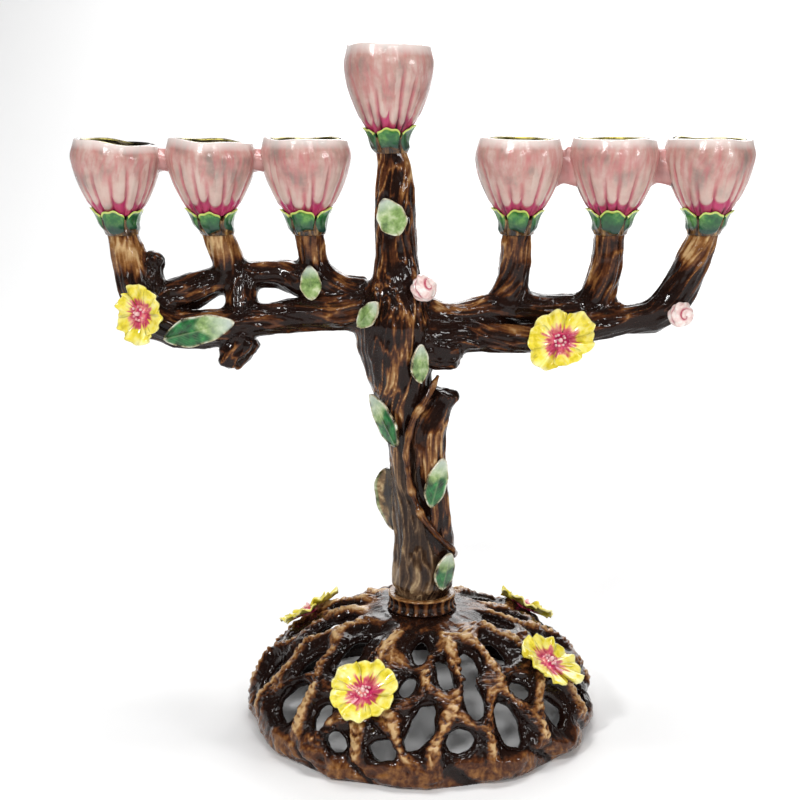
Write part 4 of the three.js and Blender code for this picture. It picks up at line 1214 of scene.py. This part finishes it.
def build_flowers():
    for name, place in BLOSSOMS.items():
        build_blossom(name, place)
    for k, (azimuth, r) in enumerate(ROOT_BLOSSOMS):
        build_blossom(f"blossom_root_{k + 1}", on_dome(azimuth, r, 0.9) | dict(spin=17 * k, radius=12.6))
    for name, place in ROSEBUDS.items():
        build_rosebud(name, place)


# ---------------------------------------------------------------- root dome

DOME_OUTSIDE = [
    (59.8, 0), (61.4, 3), (62.2, 8), (61, 13), (57.4, 19.4), (51, 26), (43, 31.4), (34, 35.6), (25, 38.6),
    (14, 41), (0, 41),
]
DOME_WIDEST = 2
# Azimuth, distance from the axis, width, height and spin of each window between the front roots.
FRONT_WINDOWS = [
    (0, 29.5, 5.5, 13, 0), (11, 40, 6.5, 14, 4), (25, 38.5, 7, 14, -10), (20.5, 48.5, 7.5, 15, -10),
    (-1, 55.6, 9.5, 18, -28), (12, 59.2, 10, 9, 0), (31, 57.4, 9, 16, 2), (42, 50.5, 9.5, 8.5, 0),
    (45, 36, 8, 11, 0), (-45, 35.5, 7, 19, 3), (-60, 46, 7, 15, 0), (-55, 57.4, 11, 14.5, -6),
    (-38, 57, 7, 12, 8), (-30, 60.6, 9.5, 7.5, 0), (-13, 60.6, 10, 8, -14), (-7, 43.6, 5.5, 9, -14),
    (53, 58.8, 8, 11, 8), (81, 27.5, 7, 11, 0), (88, 44, 6, 14, 6), (77, 58.6, 7.5, 11, -8),
    (-88, 32, 6, 17, 0), (-82, 56, 7.5, 15, -14),
]
# Each row of windows at the back: radius, count, first and last azimuth, width and height.
BACK_ROWS = [(31, 6, 106, 252, 6, 13), (45, 7, 108, 264, 6.5, 13), (57, 9, 108, 258, 8.5, 12)]
BLOSSOM_ROOM = 7.5


def on_dome(azimuth, r, lift=0):
    """A place on the dome that faces out along its surface, as in the CAD."""
    for (r0, z0), (r1, z1) in zip(DOME_OUTSIDE[DOME_WIDEST:], DOME_OUTSIDE[DOME_WIDEST + 1 :]):
        if r1 < r:
            break
    z = z0 + (z1 - z0) * (r0 - r) / (r0 - r1)
    slope = math.atan2(z1 - z0, r0 - r1)
    a = math.radians(azimuth)
    out = r + lift * math.sin(slope)
    at = (FOOT_X + out * math.sin(a), -out * math.cos(a), z + lift * math.cos(slope))
    return dict(at=at, azimuth=azimuth, pitch=90 - math.degrees(slope))


def windows():
    """All the windows that leave room for the blossoms on the roots."""
    rows = list(FRONT_WINDOWS)
    for r, count, start, end, width, height in BACK_ROWS:
        for i in range(count):
            azimuth = start + (end - start) * (i + 0.3 * math.sin(5 * i + r)) / (count - 1)
            rows.append((azimuth, r + 1.2 * math.cos(3 * i), width, height, 22 * math.sin(2.3 * i + r)))
    kept = []
    for row in rows:
        gaps = []
        for azimuth, r in ROOT_BLOSSOMS:
            turn = math.radians(row[0] - azimuth)
            gaps.append(math.hypot(row[1] * math.sin(turn), row[1] * math.cos(turn) - r))
        if min(gaps) > BLOSSOM_ROOM:
            kept.append(row)
    return kept


def window_distances(co):
    """Each point's distances from its two nearest windows, and how upright the root between them is."""
    rows = windows()
    gaps = np.empty((len(rows), len(co)))
    centres = np.empty((len(rows), 3))
    for k, (azimuth, r, width, height, spin) in enumerate(rows):
        place = facing(**on_dome(azimuth, r), spin=spin)
        local = (co - place[:3, 3]) @ place[:3, :3]
        a, b = width / 2, height / 2
        x, y = local[:, 0], local[:, 1]
        rho = np.sqrt((x / a) ** 2 + (y / b) ** 2) + 1e-6
        slope = np.sqrt((x / a**2) ** 2 + (y / b**2) ** 2) / rho
        gaps[k] = (rho - 1) / slope + 0.25 * np.maximum(np.abs(local[:, 2]) - 6, 0)
        centres[k] = place[:3, 3]
    order = np.argsort(gaps, axis=0)[:2]
    d1, d2 = np.take_along_axis(gaps, order, axis=0)
    between = centres[order[1]] - centres[order[0]]
    middle = (centres[order[1]] + centres[order[0]]) / 2 - (FOOT_X, 0, 0)
    tangent = np.column_stack([-middle[:, 1], middle[:, 0], np.zeros(len(co))])
    tangent /= np.linalg.norm(tangent, axis=1, keepdims=True)
    upright = np.abs((between * tangent).sum(1)) / np.linalg.norm(between, axis=1)
    return d1, d2, upright


def depth_under_dome(r, z):
    """How far a point lies from the dome's outside, in the plane through the axis."""
    best = np.full(len(r), 1e9)
    for (r0, z0), (r1, z1) in zip(DOME_OUTSIDE, DOME_OUTSIDE[1:]):
        length = math.hypot(r1 - r0, z1 - z0)
        t = np.clip(((r - r0) * (r1 - r0) + (z - z0) * (z1 - z0)) / length**2, 0, 1)
        best = np.minimum(best, np.hypot(r - r0 - t * (r1 - r0), z - z0 - t * (z1 - z0)))
    return best


def build_dome():
    """The dome with its windows: braided roots between them, a lumpy rim below and a boss on top."""
    co, edges, quads = remeshed(["root_dome"], 0, DOME_VOXEL)
    co = relax(co, edges, 8)
    normal = normals_of(co, quads)
    x, y, z = co.T
    r = np.hypot(x - FOOT_X, y)
    azimuth = np.arctan2(x - FOOT_X, -y)
    outer = smoothstep(2.4, 0.9, depth_under_dome(r, z))
    d1, d2, upright = window_distances(co)
    aside = (d2 - d1) / 2
    boss = smoothstep(27, 17, r)
    foot = smoothstep(13, 7, z)
    brink = smoothstep(2.2, 0.2, d1)

    # The patterns, from 0 to 1: strands, rings, knots and braids, and the scallops of the rim.
    at = np.column_stack([aside / 1.25, x / 8, (y + 1.7 * z) / 8])
    grain = crest(fractal(at, 1, 2))
    wander = 1.2 * (noise(co / 7, 3) - 0.5)
    radial = crest(spread_noise(2, azimuth * 46 / 5 + wander, r / 16, z / 16))
    band = crest(spread_noise(0, z / 2.6 + wander, azimuth * 60 / 17, 0 * z))
    lumps = fractal(co / 6.5, 1) - 0.5
    knots = crest(fractal(co / 2.6, 2, 2))
    braid = 0.5 + 0.5 * np.sin(2.1 * aside + 1.9 * (0.7 * r - z + 3 * noise(co / 6)))
    scallop = np.abs(np.sin(azimuth * 6.5 + 3 * noise(co / 24, 3) + 0.1 * z))
    root = np.sqrt(np.clip(1 - (aside / 2.7) ** 2, 0, 1)) * (0.55 + 0.45 * upright)
    root = np.maximum(root, 0.8 * smoothstep(3.5, 6.5, d1) * radial)

    height = 2.5 * root - 1.4 + 0.5 * (grain - 0.3) + 1.1 * lumps - 0.5 * brink
    rim_height = 3.1 * (scallop**0.6 - 0.6) + 0.5 * (band - 0.4) + 1.2 * lumps
    height = height * (1 - foot) + foot * rim_height
    height = height + 0.6 * (knots - 0.5) * np.maximum(root, 0.5 * foot)
    height = height + 0.7 * (braid - 0.5) * root * (1 - foot)
    height = height * (1 - boss) + boss * (0.25 * (radial - 0.4) + 0.3 * lumps)
    height = height * smoothstep(0.2, 2.5, z) * smoothstep(11.5, 14.5, np.maximum(r, 14.6 * (z < 39)))
    warp = np.column_stack([noise(co / 7.5 + 9 * k, k) - 0.5 for k in range(3)]) * 3.0
    warp *= (smoothstep(15, 22, r) * smoothstep(1, 5, z))[:, None]
    co = relax(co + normal * (outer * height)[:, None] + warp, edges, 1)

    pits = crest(fractal(co / 1.7, 3, 2))
    golden = root**1.9 * (0.5 + 0.45 * knots + 0.2 * grain + 0.3 * braid) + 0.5 * lumps - 0.3 * brink + 0.08
    golden = golden - 0.35 * root * pits**2
    rim_tone = 0.46 + 0.08 * band + 0.1 * knots**2 + 0.35 * lumps - 0.5 * smoothstep(0.26, 0.03, scallop)
    golden = golden * (1 - foot) + foot * rim_tone
    golden = golden * (1 - boss) + boss * (0.3 + 0.3 * radial * smoothstep(14, 22, r) + 0.4 * lumps)
    values = {"ridge": np.clip(golden * outer, 0, 1), "pale": 0 * foot, "grain": at * (1.2, 2, 2)}
    add_piece("roots", "root_dome", "bark_glaze", co, quads.tolist(), values)


COLLAR_COLUMNS, COLLAR_STEPS, FLUTES = 220, 5, 11
COLLAR = [
    (9.2, 41.35), (12.0, 41.3), (12.5, 41.9), (11.8, 42.9), (11.6, 44.4), (11.9, 45.8), (12.3, 46.5),
    (11.9, 47.1), (9.2, 47.1),
]
CLAMP_COLUMNS = 72
SCREW = [
    (0.6, 33.2), (1.9, 33.1), (2.2, 31.9), (3.4, 31.9), (4.7, 32.4), (5.35, 33.3), (5.4, 35.3),
    (3, 35.4), (3, 56),
]
CROSS_RINGS = 3  # how many of the screw's first rings lie in its cross recess
WASHER = [(3.6, 35.75), (7.8, 35.7), (8, 35.85), (8, 36.35), (7.85, 36.5), (3.6, 36.45)]
FOOT = (FOOT_X, 0, 0)


def build_collar():
    """The ring round the trunk's foot, with flutes between its two edges."""
    fine = []
    for (r0, z0), (r1, z1) in zip(COLLAR, COLLAR[1:]):
        steps = np.arange(COLLAR_STEPS) / COLLAR_STEPS
        fine += [(r0 + (r1 - r0) * step, z0 + (z1 - z0) * step) for step in steps]
    angle = around(COLLAR_COLUMNS)
    r, z = columns_of(fine, angle)
    flute = np.abs(np.sin(angle * FLUTES + 0.4))
    band = smoothstep(41.6, 42.6, z) * smoothstep(46.8, 46, z) * (r > 11)
    co = rings(r + band * (0.75 * flute - 0.6), z, FOOT)
    ridge = 0.34 + band * (0.6 * flute**2 - 0.3) + 0.5 * bell(z - 46.9, 0.4)
    values = {"ridge": np.clip(ridge, 0, 1).ravel(), "pale": np.zeros(len(co)), "grain": co / (1.2, 1.2, 5)}
    add_piece("collar", "trunk_collar", "bark_glaze", co, ring_faces(*r.shape, True), values)


def build_clamp():
    """The screw and washer under the dome: a round head with a cross recess."""
    angle = around(CLAMP_COLUMNS)
    r, z = columns_of(SCREW, angle)
    r[:CROSS_RINGS] *= 1 + 0.32 * np.cos(4 * angle)
    add_round_solid("clamp_screw_head", "clamp_screw", "clamp_steel", r, z, {}, FOOT)
    r, z = columns_of(WASHER, angle)
    faces = ring_faces(*r.shape, True)
    add_piece("clamp_washer_disc", "clamp_washer", "clamp_steel", rings(r, z, FOOT), faces, {}, smooth=False)


set_the_stage()
build_wood()
build_vine()
build_dome()
build_collar()
build_clamp()
build_cups()
for leaf_name, leaf_place in LEAVES.items():
    build_leaf(leaf_name, leaf_place)
build_flowers()
